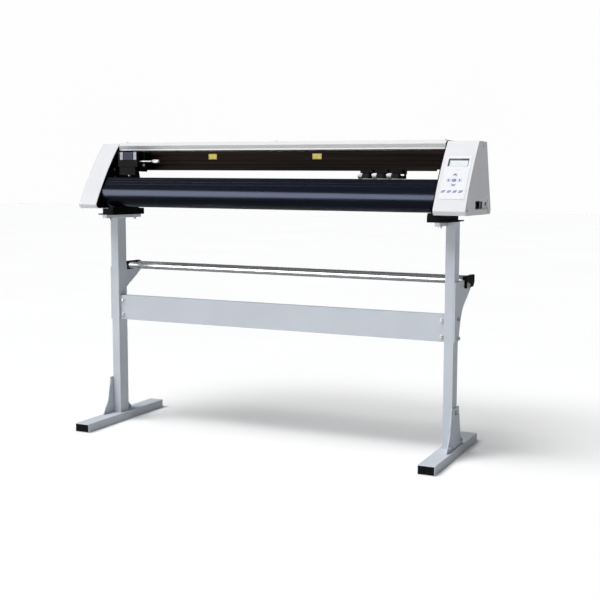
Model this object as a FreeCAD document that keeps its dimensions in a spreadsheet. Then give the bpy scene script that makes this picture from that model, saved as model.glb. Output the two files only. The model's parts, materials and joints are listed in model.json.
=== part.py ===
import FreeCAD, Part
import math
import os
import Sketcher

# Vinyl cutter on its floor stand. Millimetres, +X along the machine to the keypad end, +Y to the
# back, +Z up. The origin is on the floor, midway between the two feet.

SIZES = {
    # stand
    "post_span": 650, "post_width": 32, "post_depth": 50, "tube_wall": 2, "post_top": 762,
    "head_inner": 622, "head_outer": 640, "head_half": 105, "head_thick": 12,
    "foot_width": 57, "foot_height": 30, "foot_half": 232, "cap_depth": 12,
    "gusset_thick": 4, "gusset_top": 166, "gusset_foot": 84, "gusset_edge": 6,
    "gusset_middle": 61, "gusset_middle_height": 72, "gusset_neck": 51,
    "gusset_neck_height": 108, "gusset_head": 40, "gusset_low_radius": 55,
    "gusset_high_radius": 240,
    "bar_low": 384, "bar_high": 474, "bar_front": 15, "bar_flange": 27, "bar_wall": 2.5,
    "bracket_low": 384, "bracket_top": 580, "bracket_tip": 168, "bracket_tip_edge": 14,
    "bracket_root": 18, "bracket_bend_y": 34, "bracket_bend": 440, "bracket_curve_y": 56,
    "bracket_curve": 484, "bracket_arm_y": 104, "bracket_arm": 518, "bracket_end": 552,
    "bracket_low_radius": 160, "bracket_high_radius": 200,
    "rod_radius": 12, "rod_wall": 1.5, "rod_height": 578, "rod_front_y": 88,
    "rod_back_y": 144, "rod_fit": 0.06, "rod_reach": 6, "notch_half": 15,
    "block_thick": 9, "block_inner": 2.5, "block_margin": 17, "block_below": 24.5,
    "block_above": 15, "block_chamfer": 14,
    # stand bolts: circumradius of the heads, and where they sit
    "bolt_large": 6.5, "bolt_middle": 5.5, "bolt_small": 4.5, "washer_thick": 1.5, "bolt_head": 5.5,
    "bracket_bolt_y": 9, "bracket_bolt_high": 458, "bracket_bolt_low": 395,
    "gusset_bolt_high": 148, "gusset_bolt_y": 62, "gusset_bolt_low": 46, "block_bolt_y": 82,
    "block_bolt_height": 563, "bar_bolt_x": 622, "bar_bolt_high": 456, "bar_bolt_low": 402,
    "head_bolt_x": 631, "head_bolt_y": 75,
    # brackets between stand and machine
    "mount_inner": 596, "mount_outer": 640, "mount_lip": 660, "mount_plate": 4,
    "mount_front": 104, "mount_back": 88, "mount_block": 26, "saddle_outer": 618,
    "saddle_front": 100, "saddle_back": 56,
    # end covers
    "cover_outer": 727, "left_inner": 652, "right_inner": 622, "frame_thick": 4,
    "cover_low": 797, "cover_top": 1033, "cover_wall": 3, "cover_back_low": 169,
    "cover_back_top": 107, "cover_back_corner": 14, "cover_front_low": 126,
    "cover_front_top": 19, "face_radius": 1100, "face_y": 858.3430765,
    "face_height": 322.0125178, "corner_radius": 16,
    # lid
    "lid_top": 1037, "lid_low": 1007.5, "lid_wall": 2.5, "lid_front": 12, "lid_lip": 8,
    "lid_fold": 5, "lid_lip_tall": 18, "lid_nose": 22, "lid_back": 99, "lid_chamfer": 5,
    # beam, platen and grit shaft
    "beam_front": 14, "beam_back": 80, "beam_low": 942, "beam_high": 1003, "beam_wall": 3,
    "beam_front_wall": 12, "groove_high": 984, "groove_middle": 968, "groove_tall": 6,
    "groove_deep": 4, "rail_low": 949, "rail_high": 958, "rail_deep": 8.5,
    "shoe_low": 936.5, "shoe_back": 40, "shoe_end": 580,
    "platen_top": 909, "platen_low": 803, "platen_front": 64, "platen_back": 78,
    "platen_rise": 20, "platen_back_top": 66, "platen_back_fall": 12, "roll_radius": 45,
    "roll_y": 52, "roll_lean": 145, "roll_wall": 3, "slope_groove_first": 7,
    "slope_groove_pitch": 11, "slope_groove_wide": 4, "slope_groove_deep": 1.6,
    "hollow_back": 32, "hollow_roof": 5, "hollow_front": 61, "hollow_low_front": 85,
    "hollow_fall": 38, "trough_front": 27, "trough_back": 3, "trough_deep": 23,
    "strip_y": 51, "strip_width": 8, "strip_deep": 2.5, "strip_proud": 0.2, "strip_gap": 4,
    "shaft_y": 15, "shaft_radius": 10, "shaft_proud": 0.4, "bearing_radius": 14,
    "bearing_proud": 6,
    # openings and the idler's tab in the end plates
    "belt_window_front": 2, "belt_window_back": 13, "belt_window_low": 970,
    "belt_window_high": 1000, "tab_reach": 10, "tab_front": 14, "tab_back": 18,
    "tab_low": 975, "tab_high": 995,
    # belts, pulleys and motors
    "pulley_radius": 9.5, "belt_height": 985, "belt_radius": 10, "belt_thick": 1.5,
    "idler_x": 690, "motor_x": 650, "feed_x": 676, "feed_y": 75, "feed_height": 860,
    "grit_pulley_radius": 24, "feed_pulley_radius": 8, "motor_size": 56, "motor_depth": 50,
    "axle_radius": 3, "pulley_near": 2.5, "pulley_far": 11.5, "feed_pulley_width": 12,
    "motor_face": 18, "belt_start": 4, "belt_width": 6, "feed_belt_width": 8,
    "flange_rise": 3, "flange_thick": 1.2, "carriage_axle_reach": 8, "feed_hole_reach": 4,
    "feed_belt_start": 2,
    # carriage and knife
    "carriage_left": 614, "carriage_right": 501, "carriage_low": 943, "carriage_high": 1002,
    "carriage_front": 36, "skirt_low": 930.5, "skirt_right": 518, "carriage_wall": 3,
    "hood_left": 598, "hood_right": 514, "hood_front": 66, "hood_low": 946, "hood_wall": 2.5,
    "foot_back": 13.5, "foot_top": 962, "tongue_back": 21.8, "tongue_low": 949.5,
    "tongue_high": 957.5, "clamp_left": 575, "clamp_right": 540, "clamp_back": 10,
    "clamp_split_low": 973, "clamp_split_high": 976.3, "clamp_top": 981,
    "rail_half": 14, "rail_front": 42, "rail_bottom": 948, "rail_top": 984, "rail_gap": 0.4,
    "tool_left": 594.5, "tool_right": 527, "tool_low": 918, "tool_high": 974,
    "tool_front": 62, "tool_back": 38, "knife_x": 561, "knife_radius": 7, "port_radius": 11,
    "nose_low": 914.5, "nose_high": 921, "nose_radius": 4.5, "knob_low": 984, "knob_high": 996,
    "knob_radius": 8.5, "blade_radius": 1.2, "blade_top": 945, "blade_low": 913, "tip_tall": 2,
    "tip_radius": 0.15, "screw_height": 967, "screw_radius": 3, "screw_neck": 465,
    "screw_end": 431, "screw_head_radius": 6, "screw_slot_half": 5, "screw_slot_below": 7.5,
    "screw_slot_above": 4.5,
    # pinch rollers
    "pinch_x": 322.6, "pinch_pitch": 51.8, "pinch_width": 46, "pinch_roller_radius": 9.5,
    "pinch_pivot_y": 36, "pinch_pivot_height": 918, "pin_radius": 2.5, "pin_fit": 0.05,
    "holder_front": 4, "holder_back": 50, "holder_low": 926, "lip_low": 930, "lip_high": 941,
    "slide_gap": 0.5, "ear_low": 910.6, "ear_front": 30, "ear_back": 43,
    "arm_left": 21.5, "arm_right": 42, "arm_front": 24, "arm_low": 910.4, "arm_high": 929.5,
    "arm_back": 41, "arm_back_low": 913.5, "arm_waist": 921, "wheel_left": 1.2,
    "wheel_right": 17.7, "roller_gap": 0.3, "ear_thick": 3, "arm_chamfer": 3,
    # keypad
    "key_width": 12, "key_height": 9, "key_gap": 0.6, "key_proud": 1.6, "key_depth": 5,
    "key_flange_top": 4, "key_flange_low": 6.2, "key_flange_side": 2.25, "key_flange_end": 2,
    "function_trim": 2, "key_x": 674, "key_column": 18, "up_height": 924,
    "middle_height": 906.7, "down_height": 891.8, "function_height": 871.5,
    "function_x": 645, "function_pitch": 18.9, "overlay_thick": 0.8, "overlay_left": 636,
    "overlay_right": 717, "overlay_low": 848, "overlay_high": 983,
    "lcd_x": 675.5, "lcd_height": 963, "lcd_width": 68, "lcd_tall": 31,
    "board_x": 677, "board_height": 912, "board_half": 38, "board_low": 63, "board_high": 79,
    "board_face": 13.4, "board_rear": 15, "module_half": 34, "module_low": 45,
    "module_high": 77, "module_face": 9.5,
    # electrics inside the right cover
    "main_board_x": 698, "sheet_thick": 1.6, "main_board_front": 82, "main_board_back": 134,
    "main_board_low": 812, "main_board_high": 862, "chip_thick": 4, "chip_front": 95,
    "chip_back": 115, "chip_low": 842, "chip_high": 856, "supply_length": 58,
    "supply_front": 92, "supply_back": 22, "supply_low": 803, "supply_high": 843,
    # connectors in the recess of the right cover
    "recess_depth": 4, "recess_front": 14, "recess_back": 134, "recess_low": 815,
    "recess_high": 848, "recess_slope_y": 4, "recess_slope": 842, "recess_rim": 4,
    "socket_y": 17, "socket_height": 829, "flange_half": 24, "flange_tall": 12,
    "flange_proud": 2.5, "case_half": 14, "case_tall": 10, "case_deep": 20,
    "cavity_half": 11, "cavity_tall": 7, "cavity_deep": 14,
    "switch_x": 719, "switch_y": 63, "switch_height": 828, "rocker_half": 7,
    "pivot_half": 7.5, "pivot_radius": 2, "switch_hole_half": 7.8, "switch_hole_low": 815.5,
    "switch_hole_high": 841,
    "rocker_back": 9, "rocker_back_low": 4, "rocker_back_high": 5, "rocker_foot_x": 2,
    "rocker_foot": 10.5, "rocker_low_x": 6.5, "rocker_low": 9, "rocker_waist_x": 6,
    "rocker_waist": 1.5, "rocker_high_x": 7.5, "rocker_high": 9, "rocker_top_x": 0.5,
    "rocker_top": 10.9, "port_y": 115, "port_half": 8, "port_low": 825, "port_high": 837,
    "port_proud": 1.5, "mouth_half": 5.5, "mouth_low": 827, "mouth_high": 835,
    "mouth_end": 707,
    # cover and lid screws
    "screw_low_y": 102, "screw_low_height": 812, "screw_back_y": 136, "screw_back_height": 808,
    "screw_high_y": 62, "screw_high_height": 1018, "side_screw_radius": 4,
    "side_screw_proud": 1.8, "lid_screw_y": 40, "lid_screw_radius": 5, "lid_screw_proud": 2.5,
    "lid_screw_left": 634, "lid_screw_middle": 10, "lid_screw_right": 606,
}
# How far the covers' top front corner goes back for each millimetre that the profile moves in.
FACE_TOP_SHIFT = 0.464
# The same for the lower back corner.
BACK_LOW_SHIFT = 1.1
# How far past a surface a cutter reaches.
OVER = 1
# How far the keypad's cutters reach to each side of the curved face.
HOLE_REACH = 9
# Sideways lean of the slanted keys for each millimetre of their height.
KEY_LEAN = 0.35

doc = FreeCAD.newDocument("vinyl_cutter")
sheet = doc.addObject("Spreadsheet::Sheet", "Sizes")
NODES = []


class Size:
    """A length that carries its value and the sheet expression that gives it."""

    def __init__(self, value, text):
        self.value = float(value)
        self.text = text

    def __add__(self, other):
        other = size(other)
        return Size(self.value + other.value, "(%s + %s)" % (self.text, other.text))

    def __sub__(self, other):
        other = size(other)
        return Size(self.value - other.value, "(%s - %s)" % (self.text, other.text))

    def __rsub__(self, other):
        return size(other) - self

    def __mul__(self, factor):
        return Size(self.value * factor, "(%s * %r)" % (self.text, factor))

    def __neg__(self):
        return self * -1.0

    __radd__ = __add__
    __rmul__ = __mul__


def size(value):
    return value if isinstance(value, Size) else Size(value, repr(float(value)))


class Sheet:
    """The spreadsheet's cells, read by their aliases."""

    def __getattr__(self, name):
        return Size(SIZES[name], "Sizes." + name)


d = Sheet()


def fill_sheet():
    for row, (name, value) in enumerate(SIZES.items(), start=1):
        sheet.set("A%d" % row, name)
        sheet.set("B%d" % row, repr(value))
        sheet.setAlias("B%d" % row, name)
    doc.recompute()


# ---------------------------------------------------------------- building blocks

def new(kind, name):
    piece = doc.addObject(kind, name)
    piece.Label = name
    return piece


def bind(piece, **properties):
    for name, value in properties.items():
        piece.setExpression(name.replace("_", "."), size(value).text)


def place(piece, x, y, z, axis="z"):
    turn = {"x": FreeCAD.Rotation(FreeCAD.Vector(0, 1, 0), 90),
            "y": FreeCAD.Rotation(FreeCAD.Vector(1, 0, 0), -90),
            "z": FreeCAD.Rotation()}[axis]
    piece.Placement = FreeCAD.Placement(FreeCAD.Vector(0, 0, 0), turn)
    bind(piece, Placement_Base_x=x, Placement_Base_y=y, Placement_Base_z=z)
    return piece


def box(name, x, y, z):
    """A block between two limits on each axis."""
    piece = new("Part::Box", name)
    bind(piece, Length=size(x[1]) - x[0], Width=size(y[1]) - y[0], Height=size(z[1]) - z[0])
    return place(piece, x[0], y[0], z[0])


def cylinder(name, axis, span, centre, radius):
    """A round bar along an axis; centre holds its other two coordinates in X, Y, Z order."""
    piece = new("Part::Cylinder", name)
    bind(piece, Radius=radius, Height=size(span[1]) - span[0])
    return along(piece, axis, span[0], centre)


def along(piece, axis, start, centre):
    spots = list(centre)
    spots.insert("xyz".index(axis), start)
    return place(piece, spots[0], spots[1], spots[2], axis)


def hexagon(name, axis, span, centre, radius):
    piece = new("Part::Prism", name)
    piece.Polygon = 6
    bind(piece, Circumradius=radius, Height=size(span[1]) - span[0])
    return along(piece, axis, span[0], centre)


def cut(name, base, *tools):
    piece = new("Part::Cut", name)
    piece.Base = base
    piece.Tool = tools[0] if len(tools) == 1 else join(name + "_tools", *tools)
    return piece


def join(name, *pieces):
    piece = new("Part::MultiFuse", name)
    piece.Shapes = list(pieces)
    return piece


def group(name, *pieces):
    """Separate solids that share one node."""
    piece = new("Part::Compound", name)
    piece.Links = list(pieces)
    return piece


def node(piece):
    NODES.append(piece)
    return piece


def arc_between(start, end, radius):
    """The arc from start to end, drawn anticlockwise; a negative radius makes it a hollow one."""
    chord = end - start
    left = FreeCAD.Vector(-chord.y, chord.x, 0).normalize() * math.copysign(1, radius)
    centre = (start + end) * 0.5 + left * math.sqrt(radius * radius - chord.Length ** 2 / 4)
    first, last = (start, end) if radius > 0 else (end, start)
    angles = [math.atan2(spot.y - centre.y, spot.x - centre.x) for spot in (first, last)]
    if angles[1] < angles[0]:
        angles[1] += 2 * math.pi
    circle = Part.Circle(centre, FreeCAD.Vector(0, 0, 1), abs(radius))
    return Part.ArcOfCircle(circle, angles[0], angles[1])


def draw(sketch, outline, arcs):
    """Lines and arcs through the outline's points, each point held by the sheet."""
    spots = [(size(u), size(v)) for u, v in outline]
    corners = [FreeCAD.Vector(u.value, v.value, 0) for u, v in spots]
    count = len(corners)
    for i, start in enumerate(corners):
        end = corners[(i + 1) % count]
        if i in arcs:
            curve = arc_between(start, end, size(arcs[i]).value)
        else:
            curve = Part.LineSegment(start, end)
        sketch.addGeometry(curve, False)
    starts = [2 if i in arcs and size(arcs[i]).value < 0 else 1 for i in range(count)]
    for i in range(count):
        after = (i + 1) % count
        sketch.addConstraint(Sketcher.Constraint("Coincident", i, 3 - starts[i], after, starts[after]))
    for i, spot in enumerate(spots):
        for kind, part in zip(("DistanceX", "DistanceY"), spot):
            held = sketch.addConstraint(Sketcher.Constraint(kind, -1, 1, i, starts[i], part.value))
            sketch.setExpression("Constraints[%d]" % held, part.text)
    for i, radius in arcs.items():
        held = sketch.addConstraint(Sketcher.Constraint("Radius", i, abs(size(radius).value)))
        sketch.setExpression("Constraints[%d]" % held, "abs(%s)" % size(radius).text)


def prism(name, axis, span, outline, arcs=None):
    """A padded sketch: its outline is given in the two other coordinates, in X, Y, Z order."""
    body = new("PartDesign::Body", name)
    sketch = body.newObject("Sketcher::SketchObject", name + "_sketch")
    role = {"x": "YZ_Plane", "y": "XZ_Plane", "z": "XY_Plane"}[axis]
    plane = [item for item in body.Origin.OriginFeatures if item.Role == role][0]
    sketch.AttachmentSupport = [(plane, "")]
    sketch.MapMode = "FlatFace"
    offset = -size(span[1]) if axis == "y" else size(span[0])
    sketch.setExpression("AttachmentOffset.Base.z", offset.text)
    draw(sketch, outline, arcs or {})
    pad = body.newObject("PartDesign::Pad", name + "_pad")
    pad.Profile = sketch
    bind(pad, Length=size(span[1]) - span[0])
    return body


def rectangle(u, v):
    return [(u[0], v[0]), (u[1], v[0]), (u[1], v[1]), (u[0], v[1])]


# ---------------------------------------------------------------- stand

def sides():
    """The two ends of the machine, as a name and the sign of X."""
    return (("left", -1), ("right", 1))


def across(sign, near, far):
    """An X span from near to far of the middle, on the side that sign gives."""
    return (near * 1.0, far * 1.0) if sign > 0 else (-size(far), -size(near))


def make_feet():
    caps = []
    for side, sign in sides():
        x = across(sign, d.post_span - d.foot_width * 0.5, d.post_span + d.foot_width * 0.5)
        y = (-d.foot_half, d.foot_half)
        tube = box("foot_%s_outside" % side, x, y, (0, d.foot_height))
        inner = (x[0] + d.tube_wall, x[1] - d.tube_wall)
        hollow = (d.tube_wall, d.foot_height - d.tube_wall)
        bore = box("foot_%s_inside" % side, inner, (y[0] - 1, y[1] + 1), hollow)
        node(cut("foot_" + side, tube, bore))
        for end, way in (("front", -1), ("back", 1)):
            reach = across(way, d.foot_half - d.cap_depth, d.foot_half)
            caps.append(box("cap_%s_%s" % (side, end), inner, reach, hollow))
    node(group("foot_end_caps", *caps))


def make_posts():
    gussets = []
    for side, sign in sides():
        x = across(sign, d.post_span - d.post_width * 0.5, d.post_span + d.post_width * 0.5)
        y = (d.post_depth * -0.5, d.post_depth * 0.5)
        top = d.post_top + d.head_thick
        tube = box("post_%s_outside" % side, x, y, (d.foot_height, top))
        inner_x = (x[0] + d.tube_wall, x[1] - d.tube_wall)
        inner_y = (y[0] + d.tube_wall, y[1] - d.tube_wall)
        bore = box("post_%s_inside" % side, inner_x, inner_y, (0, top + 1))
        head = box("post_%s_head" % side, across(sign, d.head_inner, d.head_outer),
                   (-d.head_half, d.head_half), (d.post_top, top))
        node(join("upright_" + side, cut("post_%s_tube" % side, tube, bore), head))
        outer = d.post_span + d.post_width * 0.5
        low = d.foot_height
        climb = [(d.gusset_foot, low + d.gusset_edge), (d.gusset_middle, d.gusset_middle_height),
                 (d.gusset_neck, d.gusset_neck_height), (d.gusset_head, d.gusset_top)]
        outline = [(-d.gusset_foot, low), (d.gusset_foot, low)] + climb
        outline += [(-y, z) for y, z in reversed(climb)]
        gussets.append(prism("gusset_" + side, "x", across(sign, outer, outer + d.gusset_thick),
                             outline, {2: -d.gusset_low_radius, 3: -d.gusset_high_radius,
                                       6: -d.gusset_high_radius, 7: -d.gusset_low_radius}))
    node(group("foot_gussets", *gussets))


def make_crossbar():
    inner = d.post_span - d.post_width * 0.5
    front = -d.bar_front
    back = front + d.bar_flange
    wall = d.bar_wall
    outline = [(front, d.bar_low), (back, d.bar_low), (back, d.bar_low + wall),
               (front + wall, d.bar_low + wall), (front + wall, d.bar_high - wall),
               (back, d.bar_high - wall), (back, d.bar_high), (front, d.bar_high)]
    node(prism("crossbar", "x", (-inner, inner), outline))


def make_rod_support():
    """Arm plates outside the posts, and the black blocks in their notches that hold the rods."""
    plates = []
    blocks = []
    face = d.post_span + d.post_width * 0.5
    outer = face + d.gusset_thick
    notch = d.notch_half
    low = d.rod_height - d.block_below
    high = d.rod_height + d.block_above
    near = d.rod_front_y - d.block_margin
    far = d.rod_back_y + d.block_margin
    floor = d.rod_height - notch
    for side, sign in sides():
        x = across(sign, face, outer)
        front = d.post_depth * -0.5
        outline = [(front, d.bracket_low), (d.bracket_root, d.bracket_low),
                   (d.bracket_bend_y, d.bracket_bend), (d.bracket_curve_y, d.bracket_curve),
                   (d.bracket_arm_y, d.bracket_arm),
                   (d.bracket_tip - d.bracket_tip_edge, d.bracket_end),
                   (d.bracket_tip, d.bracket_end + d.bracket_tip_edge),
                   (d.bracket_tip, d.bracket_top)]
        for y in (d.rod_back_y, d.rod_front_y):
            outline += [(y + notch, d.bracket_top), (y + notch, floor), (y - notch, floor),
                        (y - notch, d.bracket_top)]
        outline.append((front, d.bracket_top))
        plates.append(prism("bracket_" + side, "x", x, outline,
                            {2: -d.bracket_low_radius, 3: -d.bracket_high_radius}))
        slab = [(near, low), (far - d.block_chamfer, low), (far, low + d.block_chamfer),
                (far, high), (near, high)]
        slabs = [prism("block_%s_out" % side, "x", across(sign, outer, outer + d.block_thick), slab),
                 box("block_%s_in" % side, across(sign, face - d.block_inner, face),
                     (near + OVER, far - OVER), (floor - OVER, high - OVER))]
        bores = []
        for tag, y in (("front", d.rod_front_y), ("back", d.rod_back_y)):
            slabs.append(box("block_%s_neck_%s" % (side, tag), x, (y - notch, y + notch),
                             (floor, high - OVER)))
            hole = across(sign, face - d.block_inner - OVER, outer + d.rod_reach + d.block_inner * 0.5)
            bores.append(cylinder("block_%s_bore_%s" % (side, tag), "x", hole, (y, d.rod_height),
                                  d.rod_radius + d.rod_fit))
        blocks.append(cut("block_" + side, join("block_%s_body" % side, *slabs), *bores))
    node(group("rod_brackets", *plates))
    node(group("rod_end_blocks", *blocks))


def make_rods():
    end = d.post_span + d.post_width * 0.5 + d.gusset_thick + d.rod_reach
    for tag, y in (("front", d.rod_front_y), ("rear", d.rod_back_y)):
        bar = cylinder("rod_%s_outside" % tag, "x", (-end, end), (y, d.rod_height), d.rod_radius)
        bore = cylinder("rod_%s_inside" % tag, "x", (-end - OVER, end + OVER), (y, d.rod_height),
                        d.rod_radius - d.rod_wall)
        node(cut("media_rod_" + tag, bar, bore))


def bolt(name, axis, way, face, centre, radius):
    """A washer and a hexagon head that stand out of a face, along way."""
    stack = [d.washer_thick * way + face, (d.washer_thick + d.bolt_head) * way + face]
    washer = (face, stack[0]) if way > 0 else (stack[0], face)
    head = stack if way > 0 else stack[::-1]
    return join(name, cylinder(name + "_washer", axis, washer, centre, radius * 1.5),
                hexagon(name + "_head", axis, head, centre, radius))


def make_stand_bolts():
    bolts = []
    side_face = d.post_span + d.post_width * 0.5 + d.gusset_thick
    spots = {"bracket_high": (d.bracket_bolt_y, d.bracket_bolt_high),
             "bracket_low": (d.bracket_bolt_y, d.bracket_bolt_low),
             "gusset_high": (0, d.gusset_bolt_high),
             "gusset_front": (-d.gusset_bolt_y, d.gusset_bolt_low),
             "gusset_back": (d.gusset_bolt_y, d.gusset_bolt_low)}
    for side, sign in sides():
        for tag, spot in spots.items():
            bolts.append(bolt("%s_bolt_%s" % (tag, side), "x", sign, side_face * sign, spot,
                              d.bolt_middle))
        bolts.append(bolt("block_bolt_" + side, "x", sign, (side_face + d.block_thick) * sign,
                          (d.block_bolt_y, d.block_bolt_height), d.bolt_large))
        for tag, height in (("high", d.bar_bolt_high), ("low", d.bar_bolt_low)):
            bolts.append(bolt("crossbar_bolt_%s_%s" % (tag, side), "y", -1, -d.bar_front,
                              (d.bar_bolt_x * sign, height), d.bolt_small))
        for tag, way in (("front", -1), ("back", 1)):
            bolts.append(bolt("head_bolt_%s_%s" % (tag, side), "z", -1, d.post_top,
                              (d.head_bolt_x * sign, d.head_bolt_y * way), d.bolt_middle))
    node(group("stand_bolts", *bolts))


def make_mounts():
    """Black folded brackets between the stand's head bars and the machine."""
    mounts = []
    low = d.post_top + d.head_thick
    length = (-d.mount_front, d.mount_back)
    tall = (low, d.cover_low)
    for side, sign in sides():
        x = across(sign, d.mount_inner, d.mount_outer)
        plate = box("mount_%s_plate" % side, across(sign, d.mount_inner, d.mount_lip), length,
                    (low, low + d.mount_plate))
        wall = box("mount_%s_wall" % side, across(sign, d.mount_outer - d.mount_plate, d.mount_outer),
                   length, tall)
        front = box("mount_%s_front" % side, x, (length[0], length[0] + d.mount_block), tall)
        back = box("mount_%s_back" % side, x, (length[1] - d.mount_block, length[1]), tall)
        saddle = box("mount_%s_saddle" % side, across(sign, d.mount_inner, d.saddle_outer),
                     (-d.saddle_front, d.saddle_back), (low, d.platen_low))
        mounts.append(join("mount_" + side, plate, wall, front, back, saddle))
    node(group("machine_mounts", *mounts))


# ---------------------------------------------------------------- machine shell

def cover_profile(inset):
    """Side outline of the end covers, moved inwards by inset, and the radii of its arcs."""
    outline = [(-d.cover_front_low + d.corner_radius, d.cover_low + inset),
               (d.cover_back_low - d.cover_back_corner, d.cover_low + inset),
               (d.cover_back_low - inset * BACK_LOW_SHIFT, d.cover_low + d.corner_radius),
               (d.cover_back_top - inset, d.cover_top - inset),
               (d.cover_front_top + inset * FACE_TOP_SHIFT, d.cover_top - inset),
               (-d.cover_front_low + inset, d.cover_low + d.corner_radius)]
    return outline, {1: d.corner_radius - inset, 4: d.face_radius - inset,
                     5: d.corner_radius - inset}


def make_frames():
    """Black end plates that carry the beam, the platen and the shaft bearings."""
    outline, arcs = cover_profile(SIZES["cover_wall"] - OVER)
    bearing = (-d.shaft_y, d.platen_top + d.shaft_proud - d.shaft_radius)
    for side, sign, inner in (("left", -1, d.left_inner), ("right", 1, d.right_inner)):
        x = across(sign, inner - d.frame_thick, inner)
        plate = prism("frame_%s_plate" % side, "x", x, outline, arcs)
        wide = (x[0] - OVER, x[1] + OVER)
        hole = cylinder("frame_%s_bearing_hole" % side, "x", wide, bearing, d.bearing_radius)
        window = box("frame_%s_belt_window" % side, wide, (-d.belt_window_front, d.belt_window_back),
                     (d.belt_window_low, d.belt_window_high))
        plate = cut("frame_%s_cut" % side, plate, hole, window)
        if side == "left":
            axle_x = -d.idler_x
            tab = box("idler_tab", (axle_x - d.tab_reach, x[0]), (d.tab_front, d.tab_back),
                      (d.tab_low, d.tab_high))
            pin = cylinder("idler_pin", "y", (OVER, d.tab_front), (axle_x, d.belt_height),
                           d.axle_radius)
            plate = join("side_frame_left", plate, tab, pin)
        else:
            plate.Label = "side_frame_right"
        node(plate)


def key_spots():
    """Each key's name, its X and its height on the curved face."""
    spots = {"key_up": (d.key_x, d.up_height), "key_left": (d.key_x - d.key_column, d.middle_height),
             "key_enter": (d.key_x, d.middle_height),
             "key_right": (d.key_x + d.key_column, d.middle_height),
             "key_down": (d.key_x, d.down_height)}
    for i in range(4):
        spots["key_function_%d" % (i + 1)] = (d.function_x + d.function_pitch * i, d.function_height)
    return spots


def on_face(piece, x, height):
    """Stand a piece on the curved face: its Z axis points outwards and its Y axis up the face."""
    rise = (height.value - SIZES["face_height"]) / SIZES["face_radius"]
    tilt = 90 - math.degrees(math.asin(rise))
    turn = FreeCAD.Rotation(FreeCAD.Vector(1, 0, 0), tilt)
    piece.Placement = FreeCAD.Placement(FreeCAD.Vector(0, 0, 0), turn)
    sag = "sqrt(pow(Sizes.face_radius; 2) - pow(%s - Sizes.face_height; 2))" % height.text
    piece.setExpression("Placement.Base.x", x.text)
    piece.setExpression("Placement.Base.y", "Sizes.face_y - " + sag)
    piece.setExpression("Placement.Base.z", height.text)
    return piece


def face_block(name, width, tall, low, high):
    """A block centred on its own origin, to be stood on the curved face."""
    return prism(name, "z", (low, high),
                 rectangle((width * -0.5, width * 0.5), (tall * -0.5, tall * 0.5)))


def slanted(name, width, tall, low, high):
    """A parallelogram cap that leans to the right."""
    lean = tall * KEY_LEAN
    outline = [(width * -0.5 - lean, tall * -0.5), (width * 0.5 - lean, tall * -0.5),
               (width * 0.5 + lean, tall * 0.5), (width * -0.5 + lean, tall * 0.5)]
    return prism(name, "z", (low, high), outline)


def key_cap(name, grow, low, high):
    width = d.key_width + grow * 2
    tall = d.key_height + grow * 2
    if "function" in name:
        return slanted(name, width - d.function_trim, tall - d.function_trim, low, high)
    return face_block(name, width, tall, low, high)


def face_holes(tag):
    """Cutters for the display window and the keys."""
    holes = [on_face(face_block(tag + "_display_hole", d.lcd_width, d.lcd_tall,
                               -HOLE_REACH, HOLE_REACH),
                     d.lcd_x, d.lcd_height)]
    for name, (x, height) in key_spots().items():
        holes.append(on_face(key_cap("%s_%s_hole" % (tag, name), d.key_gap, -HOLE_REACH,
                                     HOLE_REACH), x, height))
    return holes


def shell(side, sign, inner):
    outside, arcs = cover_profile(0)
    inside, inner_arcs = cover_profile(SIZES["cover_wall"])
    outer = prism("cover_%s_outside" % side, "x", across(sign, inner, d.cover_outer), outside, arcs)
    hollow = prism("cover_%s_inside" % side, "x",
                   across(sign, inner - 1, d.cover_outer - d.cover_wall), inside, inner_arcs)
    return outer, hollow


def make_covers():
    outer, hollow = shell("left", -1, d.left_inner)
    node(cut("end_cover_left", outer, hollow))
    outer, hollow = shell("right", 1, d.right_inner)
    floor = d.cover_outer - d.recess_depth
    rim = d.recess_rim
    well = box("recess_walls", (floor - d.cover_wall, d.cover_outer - OVER),
               (-d.recess_front - rim, d.recess_back + rim), (d.recess_low - rim, d.recess_high + rim))
    recess = prism("recess", "x", (floor, d.cover_outer + OVER),
                   [(-d.recess_front, d.recess_low), (d.recess_back, d.recess_low),
                    (d.recess_back - rim, d.recess_high), (-d.recess_slope_y, d.recess_high),
                    (-d.recess_front, d.recess_slope)])
    through = (floor - d.cover_wall - OVER, d.cover_outer)
    socket = box("socket_hole", through, (d.socket_y - d.case_half, d.socket_y + d.case_half),
                 (d.socket_height - d.case_tall, d.socket_height + d.case_tall))
    switch = box("switch_hole", through,
                 (d.switch_y - d.switch_hole_half, d.switch_y + d.switch_hole_half),
                 (d.switch_hole_low, d.switch_hole_high))
    port = box("port_hole", through, (d.port_y - d.port_half, d.port_y + d.port_half),
               (d.port_low, d.port_high))
    walls = join("cover_right_walls", cut("cover_right_shell", outer, hollow), well)
    node(cut("end_cover_right", walls, recess, socket, switch, port, *face_holes("cover")))


def make_overlay():
    """The keypad's printed skin: a thin sheet that follows the curved face."""
    low = SIZES["overlay_low"]
    high = SIZES["overlay_high"]
    radius = SIZES["face_radius"]

    def spot(height, grow):
        drop = math.sqrt((radius + grow) ** 2 - (height - SIZES["face_height"]) ** 2)
        return (d.face_y - drop, height)

    thick = SIZES["overlay_thick"]
    outline = [spot(high, 0), spot(high, thick), spot(low, thick), spot(low, 0)]
    arcs = {1: d.face_radius + d.overlay_thick, 3: -d.face_radius}
    sheet_piece = prism("overlay_sheet", "x", (d.overlay_left, d.overlay_right), outline, arcs)
    node(cut("panel_overlay", sheet_piece, *face_holes("overlay")))


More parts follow.
